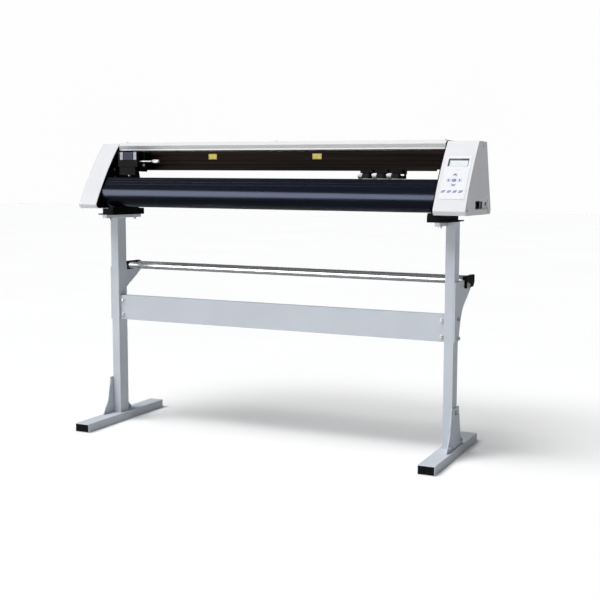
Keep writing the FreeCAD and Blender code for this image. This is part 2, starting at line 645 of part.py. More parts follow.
def make_lid():
    """White top cover with a folded front lip."""
    top = d.lid_top
    low = d.lid_low
    wall = d.lid_wall
    front = d.lid_front
    nose = d.lid_nose
    back = d.lid_back
    fold = low + d.lid_fold
    lip = low + d.lid_lip_tall
    outline = [(front, low), (front, fold), (d.lid_lip, lip), (nose, top),
               (back - d.lid_chamfer, top), (back, top - d.lid_chamfer), (back, d.beam_high),
               (back - wall, d.beam_high), (back - wall, top - d.lid_chamfer - OVER),
               (back - d.lid_chamfer - OVER, top - wall), (nose + OVER, top - wall),
               (d.lid_lip + wall, lip), (front + wall, fold), (front + wall, low)]
    node(prism("top_cover", "x", (d.frame_thick - d.left_inner, d.right_inner - d.frame_thick),
               outline))


# ---------------------------------------------------------------- beam and platen

def inner_span():
    return (d.frame_thick - d.left_inner, d.right_inner - d.frame_thick)


def make_beam():
    """Hollow rail with a tongue groove for the carriage and a shoe rail for the pinch rollers."""
    front = d.beam_front
    outline = [(d.shoe_back, d.beam_low), (d.beam_back, d.beam_low), (d.beam_back, d.beam_high),
               (front, d.beam_high)]
    grooves = ((d.groove_high, d.groove_high + d.groove_tall, d.groove_deep),
               (d.groove_middle, d.groove_middle + d.groove_tall, d.groove_deep),
               (d.rail_low, d.rail_high, d.rail_deep))
    for low, high, deep in grooves:
        outline += [(front, high), (front + deep, high), (front + deep, low), (front, low)]
    outline += [(front, d.beam_low)]
    rail = prism("beam_rail", "x", inner_span(), outline)
    hollow = box("beam_hollow", (inner_span()[0] - OVER, inner_span()[1] + OVER),
                 (front + d.beam_front_wall, d.beam_back - d.beam_wall),
                 (d.beam_low + d.beam_wall, d.beam_high - d.beam_wall))
    shoe = box("beam_shoe", (inner_span()[0], d.shoe_end), (front, d.shoe_back),
               (d.shoe_low, d.beam_low))
    node(join("beam", cut("beam_cut", rail, hollow), shoe))


def make_platen():
    """Bed extrusion: flat top, grooved slope, big rounded front and a trough for the shaft."""
    top = d.platen_top
    low = d.platen_low
    radius = SIZES["roll_radius"]
    lean = math.radians(SIZES["roll_lean"])
    slope_end = (d.roll_y * -1.0 + radius * math.cos(lean), low + radius + radius * math.sin(lean))
    run = (slope_end[0].value + SIZES["platen_front"], slope_end[1].value - SIZES["platen_top"])
    length = math.hypot(*run)
    along_slope = (run[0] / length, run[1] / length)
    inward = (-along_slope[1], along_slope[0])

    def slope(distance, depth):
        return (d.platen_front * -1.0 + along_slope[0] * distance + inward[0] * depth,
                top + along_slope[1] * distance + inward[1] * depth)

    outline = [(-d.platen_front, top)]
    for number in range(3):
        start = SIZES["slope_groove_first"] + SIZES["slope_groove_pitch"] * number
        end = start + SIZES["slope_groove_wide"]
        deep = SIZES["slope_groove_deep"]
        outline += [slope(start, 0), slope(start, deep), slope(end, deep), slope(end, 0)]
    outline.append(slope_end)
    rounded = len(outline) - 1
    back = d.platen_back
    rise = d.platen_rise
    trough = top - d.trough_deep
    strip = (d.strip_width * -0.5 - d.strip_y, d.strip_width * 0.5 - d.strip_y)
    outline += [(-d.roll_y, low), (back - rise, low), (back, low + rise),
                (back, top - d.platen_back_fall), (d.platen_back_top, top), (-d.trough_back, top),
                (-d.trough_back, trough), (-d.trough_front, trough), (-d.trough_front, top),
                (strip[1], top), (strip[1], top - d.strip_deep), (strip[0], top - d.strip_deep),
                (strip[0], top)]
    span = inner_span()
    solid = prism("platen_solid", "x", span, outline, {rounded: d.roll_radius})
    wide = (span[0] - OVER, span[1] + OVER)
    wall = d.roll_wall
    inside = d.roll_radius - wall
    front = prism("platen_front_hollow", "x", wide,
                  [(-d.hollow_back, low + wall), (-d.hollow_back, top - d.hollow_roof),
                   (-d.hollow_front, top - d.hollow_roof), (-d.hollow_low_front, top - d.hollow_fall),
                   (-d.roll_y - inside, low + d.roll_radius), (-d.roll_y, low + wall)],
                  {3: inside, 4: inside})
    middle = box("platen_middle_hollow", wide, (-d.trough_front - OVER, OVER - d.trough_back),
                 (low + wall, trough - wall - OVER))
    back_hollow = prism("platen_back_hollow", "x", wide,
                        [(wall - OVER, low + wall), (back - rise - OVER, low + wall),
                         (back - wall, low + rise + OVER),
                         (back - wall, top - d.platen_back_fall - OVER),
                         (d.platen_back_top - OVER, top - wall), (wall - OVER, top - wall)])
    node(cut("platen", solid, front, middle, back_hollow))
    node(box("cutting_strip", (span[0] + d.strip_gap, span[1] - d.strip_gap), strip,
             (top - d.strip_deep, top + d.strip_proud)))


def make_shaft():
    """Grit shaft across the bed, in two bearings, with its pulley outboard."""
    axis = (-d.shaft_y, d.platen_top + d.shaft_proud - d.shaft_radius)
    width = d.feed_pulley_width
    node(cylinder("grit_shaft", "x", (-d.left_inner - d.bearing_proud, d.feed_x + width + OVER * 2),
                  axis, d.shaft_radius))
    rings = []
    for side, sign, inner in (("left", -1, d.left_inner), ("right", 1, d.right_inner)):
        x = across(sign, inner - d.frame_thick, inner + d.bearing_proud)
        ring = cylinder("bearing_%s_ring" % side, "x", x, axis, d.bearing_radius)
        bore = cylinder("bearing_%s_bore" % side, "x", (x[0] - OVER, x[1] + OVER), axis,
                        d.shaft_radius + d.pin_fit)
        rings.append(cut("bearing_" + side, ring, bore))
    node(group("shaft_bearings", *rings))
    wheel = pulley("grit_pulley_wheel", "x", (d.feed_x, d.feed_x + width), axis,
                   d.grit_pulley_radius)
    bore = cylinder("grit_pulley_bore", "x", (d.feed_x - OVER, d.feed_x + width + OVER), axis,
                    d.shaft_radius)
    node(cut("grit_pulley", wheel, bore))


# ---------------------------------------------------------------- motors, pulleys and belts

def pulley(name, axis, span, centre, radius):
    """A belt seat between two thin flanges."""
    flange = radius + d.flange_rise
    near = cylinder(name + "_near", axis, (span[0], span[0] + d.flange_thick), centre, flange)
    far = cylinder(name + "_far", axis, (span[1] - d.flange_thick, span[1]), centre, flange)
    return join(name, cylinder(name + "_seat", axis, span, centre, radius), near, far)


def belt(name, axis, start, first, second, radii, width):
    """A flat belt round two pulleys: the ring between two hulls of two circles."""
    thick = SIZES["belt_thick"]
    step = (second[0] - first[0], second[1] - first[1])
    gap = math.hypot(*step)
    heading = math.atan2(step[1], step[0])

    def outline(grow):
        near = radii[0] + grow
        far = radii[1] + grow
        lean = math.acos((near - far) / gap)
        points = []
        for centre, radius in ((first, near), (second, far)):
            for turn in (lean, -lean):
                points.append((centre[0] + radius * math.cos(heading + turn),
                               centre[1] + radius * math.sin(heading + turn)))
        back = (first[0] - near * math.cos(heading), first[1] - near * math.sin(heading))
        front = (second[0] + far * math.cos(heading), second[1] + far * math.sin(heading))
        lift = (lambda p: FreeCAD.Vector(start, p[0], p[1])) if axis == "x" else \
               (lambda p: FreeCAD.Vector(p[0], start, p[1]))
        upper_near, lower_near, upper_far, lower_far = [lift(p) for p in points]
        edges = [Part.Arc(lower_near, lift(back), upper_near).toShape(),
                 Part.LineSegment(upper_near, upper_far).toShape(),
                 Part.Arc(upper_far, lift(front), lower_far).toShape(),
                 Part.LineSegment(lower_far, lower_near).toShape()]
        return Part.Face(Part.Wire(edges))

    push = FreeCAD.Vector(width, 0, 0) if axis == "x" else FreeCAD.Vector(0, width, 0)
    piece = new("Part::Feature", name)
    piece.Shape = outline(thick).extrude(push).cut(outline(0).extrude(push))
    return piece


def make_drives():
    height = d.belt_height
    seat = (d.pulley_near, d.pulley_far)
    idler = pulley("idler_wheel", "y", seat, (-d.idler_x, height), d.pulley_radius)
    hole = cylinder("idler_bore", "y", (d.pulley_near - OVER, d.pulley_far + OVER),
                    (-d.idler_x, height), d.axle_radius + d.pin_fit)
    node(cut("idler_pulley", idler, hole))
    wheel = pulley("carriage_motor_wheel", "y", seat, (d.motor_x, height), d.pulley_radius)
    axle = cylinder("carriage_motor_axle", "y", (OVER, d.motor_face + d.carriage_axle_reach),
                    (d.motor_x, height), d.axle_radius)
    node(join("carriage_motor_pulley", wheel, axle))
    spot = (d.feed_y, d.feed_height)
    width = d.feed_pulley_width
    wheel = pulley("feed_motor_wheel", "x", (d.feed_x, d.feed_x + width), spot,
                   d.feed_pulley_radius)
    axle = cylinder("feed_motor_axle", "x", (d.feed_x - width - 2, d.feed_x + width + 2), spot,
                    d.axle_radius)
    node(join("feed_motor_pulley", wheel, axle))

    half = d.motor_size * 0.5
    carriage_motor = box("carriage_motor_case", (d.motor_x - half, d.motor_x + half),
                         (d.motor_face, d.motor_face + d.motor_depth), (height - half, height + half))
    shaft_hole = cylinder("carriage_motor_hole", "y", (d.motor_face - OVER, d.motor_face + width),
                          (d.motor_x, height), d.axle_radius + d.pin_fit)
    feed_motor = box("feed_motor_case", (d.right_inner, d.right_inner + d.motor_depth),
                     (d.feed_y - half, d.feed_y + half), (d.feed_height - half, d.feed_height + half))
    feed_hole = cylinder("feed_motor_hole", "x", (d.feed_x - width - d.feed_hole_reach, d.feed_x), spot,
                         d.axle_radius + d.pin_fit)
    node(group("stepper_motors", cut("carriage_motor", carriage_motor, shaft_hole),
               cut("feed_motor", feed_motor, feed_hole)))

    shaft_height = SIZES["platen_top"] + SIZES["shaft_proud"] - SIZES["shaft_radius"]
    slack = SIZES["belt_radius"] - SIZES["pulley_radius"]
    carriage_belt = belt("carriage_belt", "y", SIZES["belt_start"],
                         (-SIZES["idler_x"], SIZES["belt_height"]),
                         (SIZES["motor_x"], SIZES["belt_height"]),
                         (SIZES["belt_radius"], SIZES["belt_radius"]), SIZES["belt_width"])
    feed_belt = belt("feed_belt", "x", SIZES["feed_x"] + SIZES["feed_belt_start"],
                     (SIZES["feed_y"], SIZES["feed_height"]),
                     (-SIZES["shaft_y"], shaft_height),
                     (SIZES["feed_pulley_radius"] + slack, SIZES["grit_pulley_radius"] + slack),
                     SIZES["feed_belt_width"])
    node(group("drive_belts", carriage_belt, feed_belt))


# ---------------------------------------------------------------- carriage and knife

def make_carriage():
    """Block that runs in the beam's groove, under a moulded cover with a hood over the knife."""
    wall = d.carriage_wall
    x = (-d.carriage_left + wall, -d.carriage_right - wall)
    low = d.carriage_low
    ceiling = d.carriage_high - wall
    front = wall - d.carriage_front
    block = box("carriage_block", x, (front, 0), (low, ceiling))
    foot = box("carriage_foot", x, (0, d.foot_back), (low, d.foot_top))
    tongue = box("carriage_tongue", x, (d.foot_back, d.tongue_back), (d.tongue_low, d.tongue_high))
    clamp = (-d.clamp_left, -d.clamp_right)
    clamp_low = box("belt_clamp_low", clamp, (0, d.clamp_back), (d.foot_top, d.clamp_split_low))
    clamp_high = box("belt_clamp_high", clamp, (0, d.clamp_back), (d.clamp_split_high, d.clamp_top))
    rail_x = (-d.knife_x - d.rail_half, -d.knife_x + d.rail_half)
    rail = box("tool_rail", rail_x, (-d.rail_front, front), (d.rail_bottom, d.rail_top))
    node(join("carriage", block, foot, tongue, clamp_low, clamp_high, rail))

    shell_high = box("cover_shell_high", (-d.carriage_left, -d.carriage_right),
                     (-d.carriage_front, 0), (low, d.carriage_high))
    skirt = box("cover_skirt", (-d.carriage_left, -d.skirt_right), (-d.carriage_front, 0),
                (d.skirt_low, low + 1))
    hood = box("cover_hood", (-d.hood_left, -d.hood_right), (-d.hood_front, front),
               (d.hood_low, d.carriage_high))
    room_high = box("cover_room_high", x, (front, 1), (low, ceiling))
    room_low = box("cover_room_low", (x[0], -d.skirt_right - wall), (front, 1),
                   (d.skirt_low - OVER, low + OVER))
    hood_room = box("cover_hood_room", (-d.hood_left + d.hood_wall, -d.hood_right - d.hood_wall),
                    (-d.hood_front + d.hood_wall, -d.carriage_front), (d.hood_low - OVER, ceiling))
    window = box("cover_window", rail_x, (-d.carriage_front - OVER, front),
                 (d.rail_bottom, d.rail_top))
    slot = box("cover_screw_slot", (-d.hood_right - d.hood_wall - OVER, OVER - d.hood_right),
               (-d.screw_slot_half - d.strip_y, d.screw_slot_half - d.strip_y),
               (d.screw_height - d.screw_slot_below, d.screw_height + d.screw_slot_above))
    port = cylinder("cover_knife_port", "z", (ceiling - OVER, d.carriage_high + OVER),
                    (-d.knife_x, -d.strip_y), d.port_radius)
    node(cut("carriage_cover", join("cover_shell", shell_high, skirt, hood),
             room_high, room_low, hood_room, window, slot, port))


def make_tool():
    """Sprung tool slide with the knife holder, its swivel blade and the clamp screw."""
    knife = (-d.knife_x, -d.strip_y)
    x = (-d.tool_left, -d.tool_right)
    block = box("tool_block", x, (-d.tool_front, -d.tool_back), (d.tool_low, d.tool_high))
    gap = d.rail_gap
    channel = box("tool_channel", (-d.knife_x - d.rail_half - gap, -d.knife_x + d.rail_half + gap),
                  (-d.rail_front - gap, -d.tool_back + OVER), (d.tool_low - OVER, d.tool_high + OVER))
    hole = cylinder("tool_hole", "z", (d.tool_low - OVER, d.tool_high + OVER), knife, d.knife_radius)
    axis = (-d.strip_y, d.screw_height)
    thread = cylinder("tool_thread", "x", (-d.knife_x, OVER - d.tool_right), axis,
                      d.screw_radius + d.pin_fit)
    node(cut("tool_slide", block, channel, hole, thread))
    body = cylinder("holder_body", "z", (d.nose_high, d.knob_low), knife, d.knife_radius)
    nose = cylinder("holder_nose", "z", (d.nose_low, d.nose_high), knife, d.nose_radius)
    knob = cylinder("holder_knob", "z", (d.knob_low, d.knob_high), knife, d.knob_radius)
    bore = cylinder("holder_bore", "z", (d.blade_low, d.blade_top + OVER), knife,
                    d.blade_radius + d.pin_fit)
    node(cut("knife_holder", join("holder_solid", body, nose, knob), bore))
    shank = cylinder("blade_shank", "z", (d.blade_low + d.tip_tall, d.blade_top), knife,
                     d.blade_radius)
    tip = new("Part::Cone", "blade_tip")
    bind(tip, Radius1=d.tip_radius, Radius2=d.blade_radius, Height=d.tip_tall)
    place(tip, knife[0], knife[1], d.blade_low)
    node(join("knife_blade", shank, tip))
    screw = cylinder("screw_shank", "x", (d.knife_radius - d.knife_x + OVER * 0.5, -d.screw_neck),
                     axis, d.screw_radius)
    head = cylinder("screw_head", "x", (-d.screw_neck, -d.screw_end), axis, d.screw_head_radius)
    node(join("clamp_screw", screw, head))


# ---------------------------------------------------------------- pinch rollers

def make_pinch(number):
    """Shoe that slides under the beam, sprung arm that lifts, and the roller on its axle."""
    tag = "pinch_%d_" % number
    left = d.pinch_x + d.pinch_pitch * (number - 1)
    x = (left, left + d.pinch_width)
    pivot = (d.pinch_pivot_y, d.pinch_pivot_height)
    reach = (d.holder_front, d.holder_back)
    gap = d.slide_gap
    plate = box(tag + "plate", x, reach, (d.holder_low, d.shoe_low - gap))
    front = box(tag + "front_lip", x, (reach[0], d.beam_front - gap), (d.lip_low, d.lip_high))
    back = box(tag + "back_lip", x, (d.shoe_back + gap, reach[1]), (d.lip_low, d.beam_low - gap))
    arm_x = (left + d.arm_left, left + d.arm_right)
    ears = []
    for side, span in (("left", (arm_x[0] - gap - d.ear_thick, arm_x[0] - gap)),
                       ("right", (arm_x[1] + gap, left + d.pinch_width))):
        ears.append(box(tag + "ear_" + side, span, (d.ear_front, d.ear_back),
                        (d.ear_low, d.holder_low + OVER)))
    pin = cylinder(tag + "pin", "x", (arm_x[0] - gap - OVER, arm_x[1] + gap + OVER), pivot,
                   d.pin_radius)
    node(join("pinch_holder_%d" % number, plate, front, back, *ears, pin))

    axle_height = d.platen_top + d.shaft_proud + d.roller_gap + d.pinch_roller_radius
    axle_spot = (-d.shaft_y, axle_height)
    outline = [(-d.arm_front, d.arm_low), (d.ear_front - gap, d.arm_low),
               (d.arm_back, d.arm_back_low), (d.arm_back, d.arm_waist), (reach[0] - OVER, d.arm_waist),
               (-d.shaft_radius * 0.5, d.arm_high), (d.arm_chamfer - d.arm_front, d.arm_high),
               (-d.arm_front, d.arm_high - d.arm_chamfer)]
    arm = prism(tag + "arm", "x", arm_x, outline)
    hole = cylinder(tag + "arm_hole", "x", (arm_x[0] - OVER, arm_x[1] + OVER), pivot,
                    d.pin_radius + d.pin_fit)
    axle = cylinder(tag + "axle", "x", (left + gap, arm_x[0] + OVER), axle_spot, d.axle_radius)
    node(join("pinch_arm_%d" % number, cut(tag + "arm_drilled", arm, hole), axle))
    wheel = cylinder(tag + "wheel", "x", (left + d.wheel_left, left + d.wheel_right), axle_spot,
                     d.pinch_roller_radius)
    bore = cylinder(tag + "wheel_bore", "x", (left, left + d.wheel_right + OVER), axle_spot,
                    d.axle_radius + d.pin_fit)
    node(cut("pinch_roller_%d" % number, wheel, bore))


# ---------------------------------------------------------------- keypad and electrics

def make_keys():
    for name, (x, height) in key_spots().items():
        cap = key_cap(name + "_cap", 0, -d.key_depth, d.key_proud)
        flange = face_block(name + "_flange", d.key_width + d.key_flange_side * 2,
                            d.key_height + d.key_flange_end * 2, -d.key_flange_low,
                            -d.key_flange_top)
        node(on_face(join(name, cap, flange), x, height))


def make_boards():
    """Keypad board with the display module on it, and the main board behind the port."""
    keypad = box("keypad_board", (-d.board_half, d.board_half), (-d.board_low, d.board_high),
                 (-d.board_rear, -d.board_face))
    module = box("display_block", (-d.module_half, d.module_half), (d.module_low, d.module_high),
                 (-d.board_face, -d.module_face))
    panel = on_face(join("keypad_electronics", keypad, module), d.board_x, d.board_height)
    sheet_x = (d.main_board_x, d.main_board_x + d.sheet_thick)
    board = box("main_board_sheet", sheet_x, (d.main_board_front, d.main_board_back),
                (d.main_board_low, d.main_board_high))
    chip = box("main_board_chip", (sheet_x[0] - d.chip_thick, sheet_x[0]),
               (d.chip_front, d.chip_back), (d.chip_low, d.chip_high))
    node(group("circuit_boards", panel, join("main_board", board, chip)))
    node(box("power_supply", (d.right_inner, d.right_inner + d.supply_length),
             (-d.supply_front, d.supply_back), (d.supply_low, d.supply_high)))


def around(centre, half):
    return (centre - half, centre + half)


def make_connectors():
    """Mains inlet, rocker switch and data port in the recess of the right cover."""
    floor = d.cover_outer - d.recess_depth
    y = d.socket_y
    z = d.socket_height
    flange = box("inlet_flange", (floor, floor + d.flange_proud), around(y, d.flange_half),
                 around(z, d.flange_tall))
    case = box("inlet_case", (floor - d.case_deep, floor), around(y, d.case_half),
               around(z, d.case_tall))
    cavity = box("inlet_cavity", (floor - d.cavity_deep, floor + d.flange_proud + OVER),
                 around(y, d.cavity_half), around(z, d.cavity_tall))
    node(cut("power_inlet", join("inlet_solid", flange, case), cavity))
    port = box("port_case", (d.main_board_x + d.sheet_thick, floor + d.port_proud),
               around(d.port_y, d.port_half), (d.port_low, d.port_high))
    mouth = box("port_mouth", (d.mouth_end, floor + d.port_proud + OVER),
                around(d.port_y, d.mouth_half), (d.mouth_low, d.mouth_high))
    node(cut("data_port", port, mouth))
    corners = ((-d.rocker_back, -d.rocker_back_low), (-d.rocker_foot_x, -d.rocker_foot),
               (d.rocker_low_x, -d.rocker_low), (d.rocker_waist_x, d.rocker_waist),
               (d.rocker_high_x, d.rocker_high), (-d.rocker_top_x, d.rocker_top),
               (-d.rocker_back, d.rocker_back_high))
    outline = [(d.switch_x + x, d.switch_height + z) for x, z in corners]
    rocker = prism("rocker_cap", "y", around(d.switch_y, d.rocker_half), outline)
    pivot = cylinder("rocker_pivot", "y", around(d.switch_y, d.pivot_half),
                     (d.switch_x, d.switch_height), d.pivot_radius)
    node(join("power_switch", rocker, pivot))


def make_cover_screws():
    screws = []
    spots = {"front": (-d.screw_low_y, d.screw_low_height),
             "back": (d.screw_back_y, d.screw_back_height),
             "high": (d.screw_high_y, d.screw_high_height)}
    for tag, spot in spots.items():
        for side, sign in sides():
            x = across(sign, d.cover_outer, d.cover_outer + d.side_screw_proud)
            screws.append(cylinder("cover_screw_%s_%s" % (tag, side), "x", x, spot,
                                   d.side_screw_radius))
    lid = (d.lid_top, d.lid_top + d.lid_screw_proud)
    for tag, x in (("left", -d.lid_screw_left), ("middle", -d.lid_screw_middle),
                   ("right", d.lid_screw_right)):
        screws.append(cylinder("lid_screw_" + tag, "z", lid, (x, d.lid_screw_y),
                               d.lid_screw_radius))
    node(group("cover_screws", *screws))


# ---------------------------------------------------------------- build, check and write

fill_sheet()
make_feet()
make_posts()
make_crossbar()
make_rod_support()
make_rods()
make_stand_bolts()
make_mounts()
make_frames()
make_covers()
make_overlay()
make_lid()
make_beam()
make_platen()
make_shaft()
make_drives()
make_carriage()
make_tool()
for place_number in (1, 2, 3):
    make_pinch(place_number)
make_keys()
make_boards()
make_connectors()
make_cover_screws()
doc.recompute()

problems = [item.Label for item in doc.Objects if "Invalid" in item.State or "Error" in item.State]
for piece in NODES:
    if piece.Shape.isNull() or not piece.Shape.isValid() or not piece.Shape.Solids:
        problems.append(piece.Label + " has a bad shape")
if problems:
    raise RuntimeError("not written: " + ", ".join(problems))

os.makedirs("parts", exist_ok=True)
for piece in NODES:
    piece.Shape.exportStep("parts/%s.step" % piece.Label)
    counted = len(piece.Shape.Solids)
    print("%-24s solids %2d  volume %12.1f" % (piece.Label, counted, piece.Shape.Volume))
print(len(NODES), "nodes")
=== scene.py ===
import json
import math

import bmesh
import bpy
from mathutils import Euler, Matrix, Vector


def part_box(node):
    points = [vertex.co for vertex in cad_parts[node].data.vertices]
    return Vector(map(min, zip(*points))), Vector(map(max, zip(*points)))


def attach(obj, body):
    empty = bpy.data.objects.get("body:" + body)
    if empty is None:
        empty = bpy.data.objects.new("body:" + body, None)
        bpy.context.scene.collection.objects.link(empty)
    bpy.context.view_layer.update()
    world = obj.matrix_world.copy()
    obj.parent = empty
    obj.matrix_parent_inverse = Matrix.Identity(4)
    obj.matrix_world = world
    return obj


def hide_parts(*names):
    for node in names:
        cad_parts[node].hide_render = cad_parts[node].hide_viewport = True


# Vinyl cutter on its floor stand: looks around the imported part, in metres, in the part's frame.

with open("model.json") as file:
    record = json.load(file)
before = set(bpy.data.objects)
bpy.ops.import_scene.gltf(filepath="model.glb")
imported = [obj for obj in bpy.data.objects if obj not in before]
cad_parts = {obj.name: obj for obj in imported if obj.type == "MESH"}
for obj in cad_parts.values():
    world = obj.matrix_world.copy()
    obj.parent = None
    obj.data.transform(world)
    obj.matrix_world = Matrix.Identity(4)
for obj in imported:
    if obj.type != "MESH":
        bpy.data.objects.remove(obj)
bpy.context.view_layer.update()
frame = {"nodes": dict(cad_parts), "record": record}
ROOT = "stand_and_machine"
MM = 0.001

# The keypad's curved face is a cylinder along X; this is its axis (Y, Z) and its radius.
FACE_AXIS = (0.8583430765, 0.3220125178)
FACE_RADIUS = 1.1


# ---------------------------------------------------------------- materials

RELIEF_DEPTH = 0.0002


class Nodes:
    """A material's node tree, with short ways to add what the surfaces here share."""

    def __init__(self, name):
        self.material = bpy.data.materials.new(name)
        self.material.use_nodes = True
        self.tree = self.material.node_tree
        self.shader = self.tree.nodes["Principled BSDF"]
        self.place = self.tree.nodes.new("ShaderNodeTexCoord").outputs["Object"]

    def add(self, kind, **values):
        item = self.tree.nodes.new("ShaderNode" + kind)
        for key, value in values.items():
            setattr(item, key, value)
        return item

    def link(self, out, into):
        self.tree.links.new(out, into)

    def stretched(self, scale):
        """Object coordinates scaled differently on each axis, for streaks."""
        mapping = self.add("Mapping")
        mapping.inputs["Scale"].default_value = scale
        self.link(self.place, mapping.inputs["Vector"])
        return mapping.outputs["Vector"]

    def noise(self, scale, detail=4.0, vector=None):
        texture = self.add("TexNoise")
        texture.inputs["Scale"].default_value = scale
        texture.inputs["Detail"].default_value = detail
        self.link(vector or self.place, texture.inputs["Vector"])
        return texture.outputs["Fac"]

    def spread(self, value, low, high):
        """Maps the middle half of a noise to a range."""
        ranged = self.add("MapRange")
        for key, number in (("From Min", 0.3), ("From Max", 0.7), ("To Min", low), ("To Max", high)):
            ranged.inputs[key].default_value = number
        self.link(value, ranged.inputs["Value"])
        return ranged.outputs["Result"]

    def blend(self, value, first, second):
        """A colour between two, led by a noise."""
        ramp = self.add("ValToRGB")
        ramp.color_ramp.elements[0].position = 0.32
        ramp.color_ramp.elements[0].color = (*first, 1)
        ramp.color_ramp.elements[1].position = 0.68
        ramp.color_ramp.elements[1].color = (*second, 1)
        self.link(value, ramp.inputs["Fac"])
        return ramp.outputs["Color"]

    def bump(self, value, strength, depth):
        """Relief on the whole surface, its depth in metres."""
        item = self.add("Bump")
        item.inputs["Strength"].default_value = strength
        item.inputs["Distance"].default_value = depth
        self.link(value, item.inputs["Height"])
        self.link(item.outputs["Normal"], self.shader.inputs["Normal"])


def shade(colour, factor):
    """A colour made darker or lighter."""
    return tuple(channel * factor for channel in colour)


def surface(name, colour, rough, metal=0.0, vary=0.08, patch=14, grain=900, relief=0.15,
            streak=None, **sockets):
    """A finish with uneven colour, uneven gloss and a fine grain."""
    n = Nodes(name)
    where = n.stretched(streak) if streak else n.place
    broad = n.noise(patch, 5, where)
    n.link(n.blend(broad, shade(colour, 1 - vary), shade(colour, 1 + vary)),
           n.shader.inputs["Base Color"])
    n.link(n.spread(n.noise(patch * 3, 4, where), rough * 0.85, rough * 1.15),
           n.shader.inputs["Roughness"])
    n.shader.inputs["Metallic"].default_value = metal
    for key, value in sockets.items():
        n.shader.inputs[key.replace("_", " ")].default_value = value
    n.bump(n.noise(grain, 2, where), relief, RELIEF_DEPTH)
    return n.material


MATERIALS = {
    "stand_paint": surface("stand_paint", (0.505, 0.54, 0.59), 0.45, vary=0.03, patch=6,
                           grain=1400, relief=0.25, Specular_IOR_Level=0.2),
    "black_plastic": surface("black_plastic", (0.004, 0.004, 0.005), 0.5, grain=1800, relief=0.3,
                             Specular_IOR_Level=0.1),
    "chrome_rod": surface("chrome_rod", (0.70, 0.70, 0.71), 0.25, 0.75, vary=0.05, patch=20,
                          streak=(0.2, 1, 1), relief=0.05),
    "black_metal": surface("black_metal", (0.0025, 0.0025, 0.003), 0.5, vary=0.2, relief=0.2,
                           Specular_IOR_Level=0.05),
    "zinc_steel": surface("zinc_steel", (0.58, 0.59, 0.61), 0.32, 0.7, vary=0.12, patch=120),
    "white_plastic": surface("white_plastic", (0.66, 0.665, 0.685), 0.38, vary=0.012, patch=5,
                             grain=2200, relief=0.2),
    "lid_paint": surface("lid_paint", (0.68, 0.685, 0.69), 0.42, vary=0.02, patch=5, grain=1500,
                         relief=0.2, streak=(0.2, 1, 1), Specular_IOR_Level=0.8),
    "bed_anodised": surface("bed_anodised", (0.002, 0.003, 0.006), 0.24, vary=0.5, patch=55,
                            grain=500, relief=0.25, streak=(0.03, 1, 1),
                            Specular_Tint=(0.62, 0.70, 1.0, 1)),
    "beam_anodised": surface("beam_anodised", (0.012, 0.006, 0.004), 0.42, vary=0.7, patch=40,
                             grain=700, relief=0.15, streak=(0.03, 1, 1), Specular_IOR_Level=0.03),
    "strip_rubber": surface("strip_rubber", (0.008, 0.008, 0.009), 0.7, grain=1200, relief=0.4,
                            Specular_IOR_Level=0.1),
    "ground_steel": surface("ground_steel", (0.16, 0.16, 0.17), 0.45, 1.0, patch=60, grain=2600,
                            relief=0.6),
    "belt_rubber": surface("belt_rubber", (0.006, 0.006, 0.006), 0.65, grain=1500, relief=0.3,
                           Specular_IOR_Level=0.1),
    "board_green": surface("board_green", (0.02, 0.12, 0.05), 0.35, vary=0.2, patch=120),
    "supply_metal": surface("supply_metal", (0.5, 0.51, 0.52), 0.35, 0.8, patch=40,
                            streak=(1, 0.1, 1)),
    "key_blue": surface("key_blue", (0.21, 0.22, 0.46), 0.5, vary=0.12, patch=260, grain=2500),
    "key_white": surface("key_white", (0.70, 0.70, 0.74), 0.45, vary=0.03, patch=160, grain=2500),
    "overlay_film": surface("overlay_film", (0.71, 0.715, 0.75), 0.3, vary=0.012, patch=18,
                            grain=2600, relief=0.15),
    "roller_white": surface("roller_white", (0.70, 0.70, 0.68), 0.55, vary=0.06, patch=160,
                            grain=1500, relief=0.4),
    "carriage_black": surface("carriage_black", (0.002, 0.002, 0.003), 0.4, vary=0.2,
                              grain=1600, relief=0.2, Specular_IOR_Level=0.05),
    "knife_steel": surface("knife_steel", (0.52, 0.52, 0.53), 0.3, 0.7, vary=0.1, patch=150),
}
# Finishes of small parts that belong to no node of their own.
DETAILS = {
    "label_yellow": surface("label_yellow", (0.85, 0.66, 0.06), 0.5, vary=0.1, patch=60),
    "label_edge": surface("label_edge", (0.10, 0.07, 0.01), 0.5, vary=0.1, patch=60),
    "print_grey": surface("print_grey", (0.30, 0.33, 0.37), 0.5, vary=0.25, patch=120),
    "print_blue": surface("print_blue", (0.035, 0.042, 0.085), 0.45, vary=0.3, patch=200,
                          Specular_IOR_Level=0.2),
    "pin_brass": surface("pin_brass", (0.62, 0.48, 0.22), 0.3, 1.0, vary=0.1, patch=200),
    "line_grey": surface("line_grey", (0.34, 0.35, 0.40), 0.5, vary=0.1, patch=60),
    # Dark grey of the display bezel; on the bezel's widened top and left bars it also stands as
    # painted shade.
    "bezel_and_shade_grey": surface("bezel_and_shade_grey", (0.10, 0.12, 0.12), 0.5, vary=0.15, patch=120),
    "arrow_grey": surface("arrow_grey", (0.12, 0.15, 0.18), 0.5, vary=0.1, patch=200),
    "arrow_blue": surface("arrow_blue", (0.12, 0.14, 0.30), 0.5, vary=0.1, patch=200),
}

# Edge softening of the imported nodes, in millimetres.
EDGES = {"stand_paint": 1.2, "black_plastic": 0.8, "black_metal": 0.6, "white_plastic": 1.6,
         "lid_paint": 0.8, "bed_anodised": 0.5, "beam_anodised": 0.4, "zinc_steel": 0.35,
         "key_blue": 0.45, "key_white": 0.45,
         "carriage_black": 1.4, "knife_steel": 0.3, "chrome_rod": 0.5,
         "supply_metal": 0.4, "roller_white": 0.6, "ground_steel": 0.3}


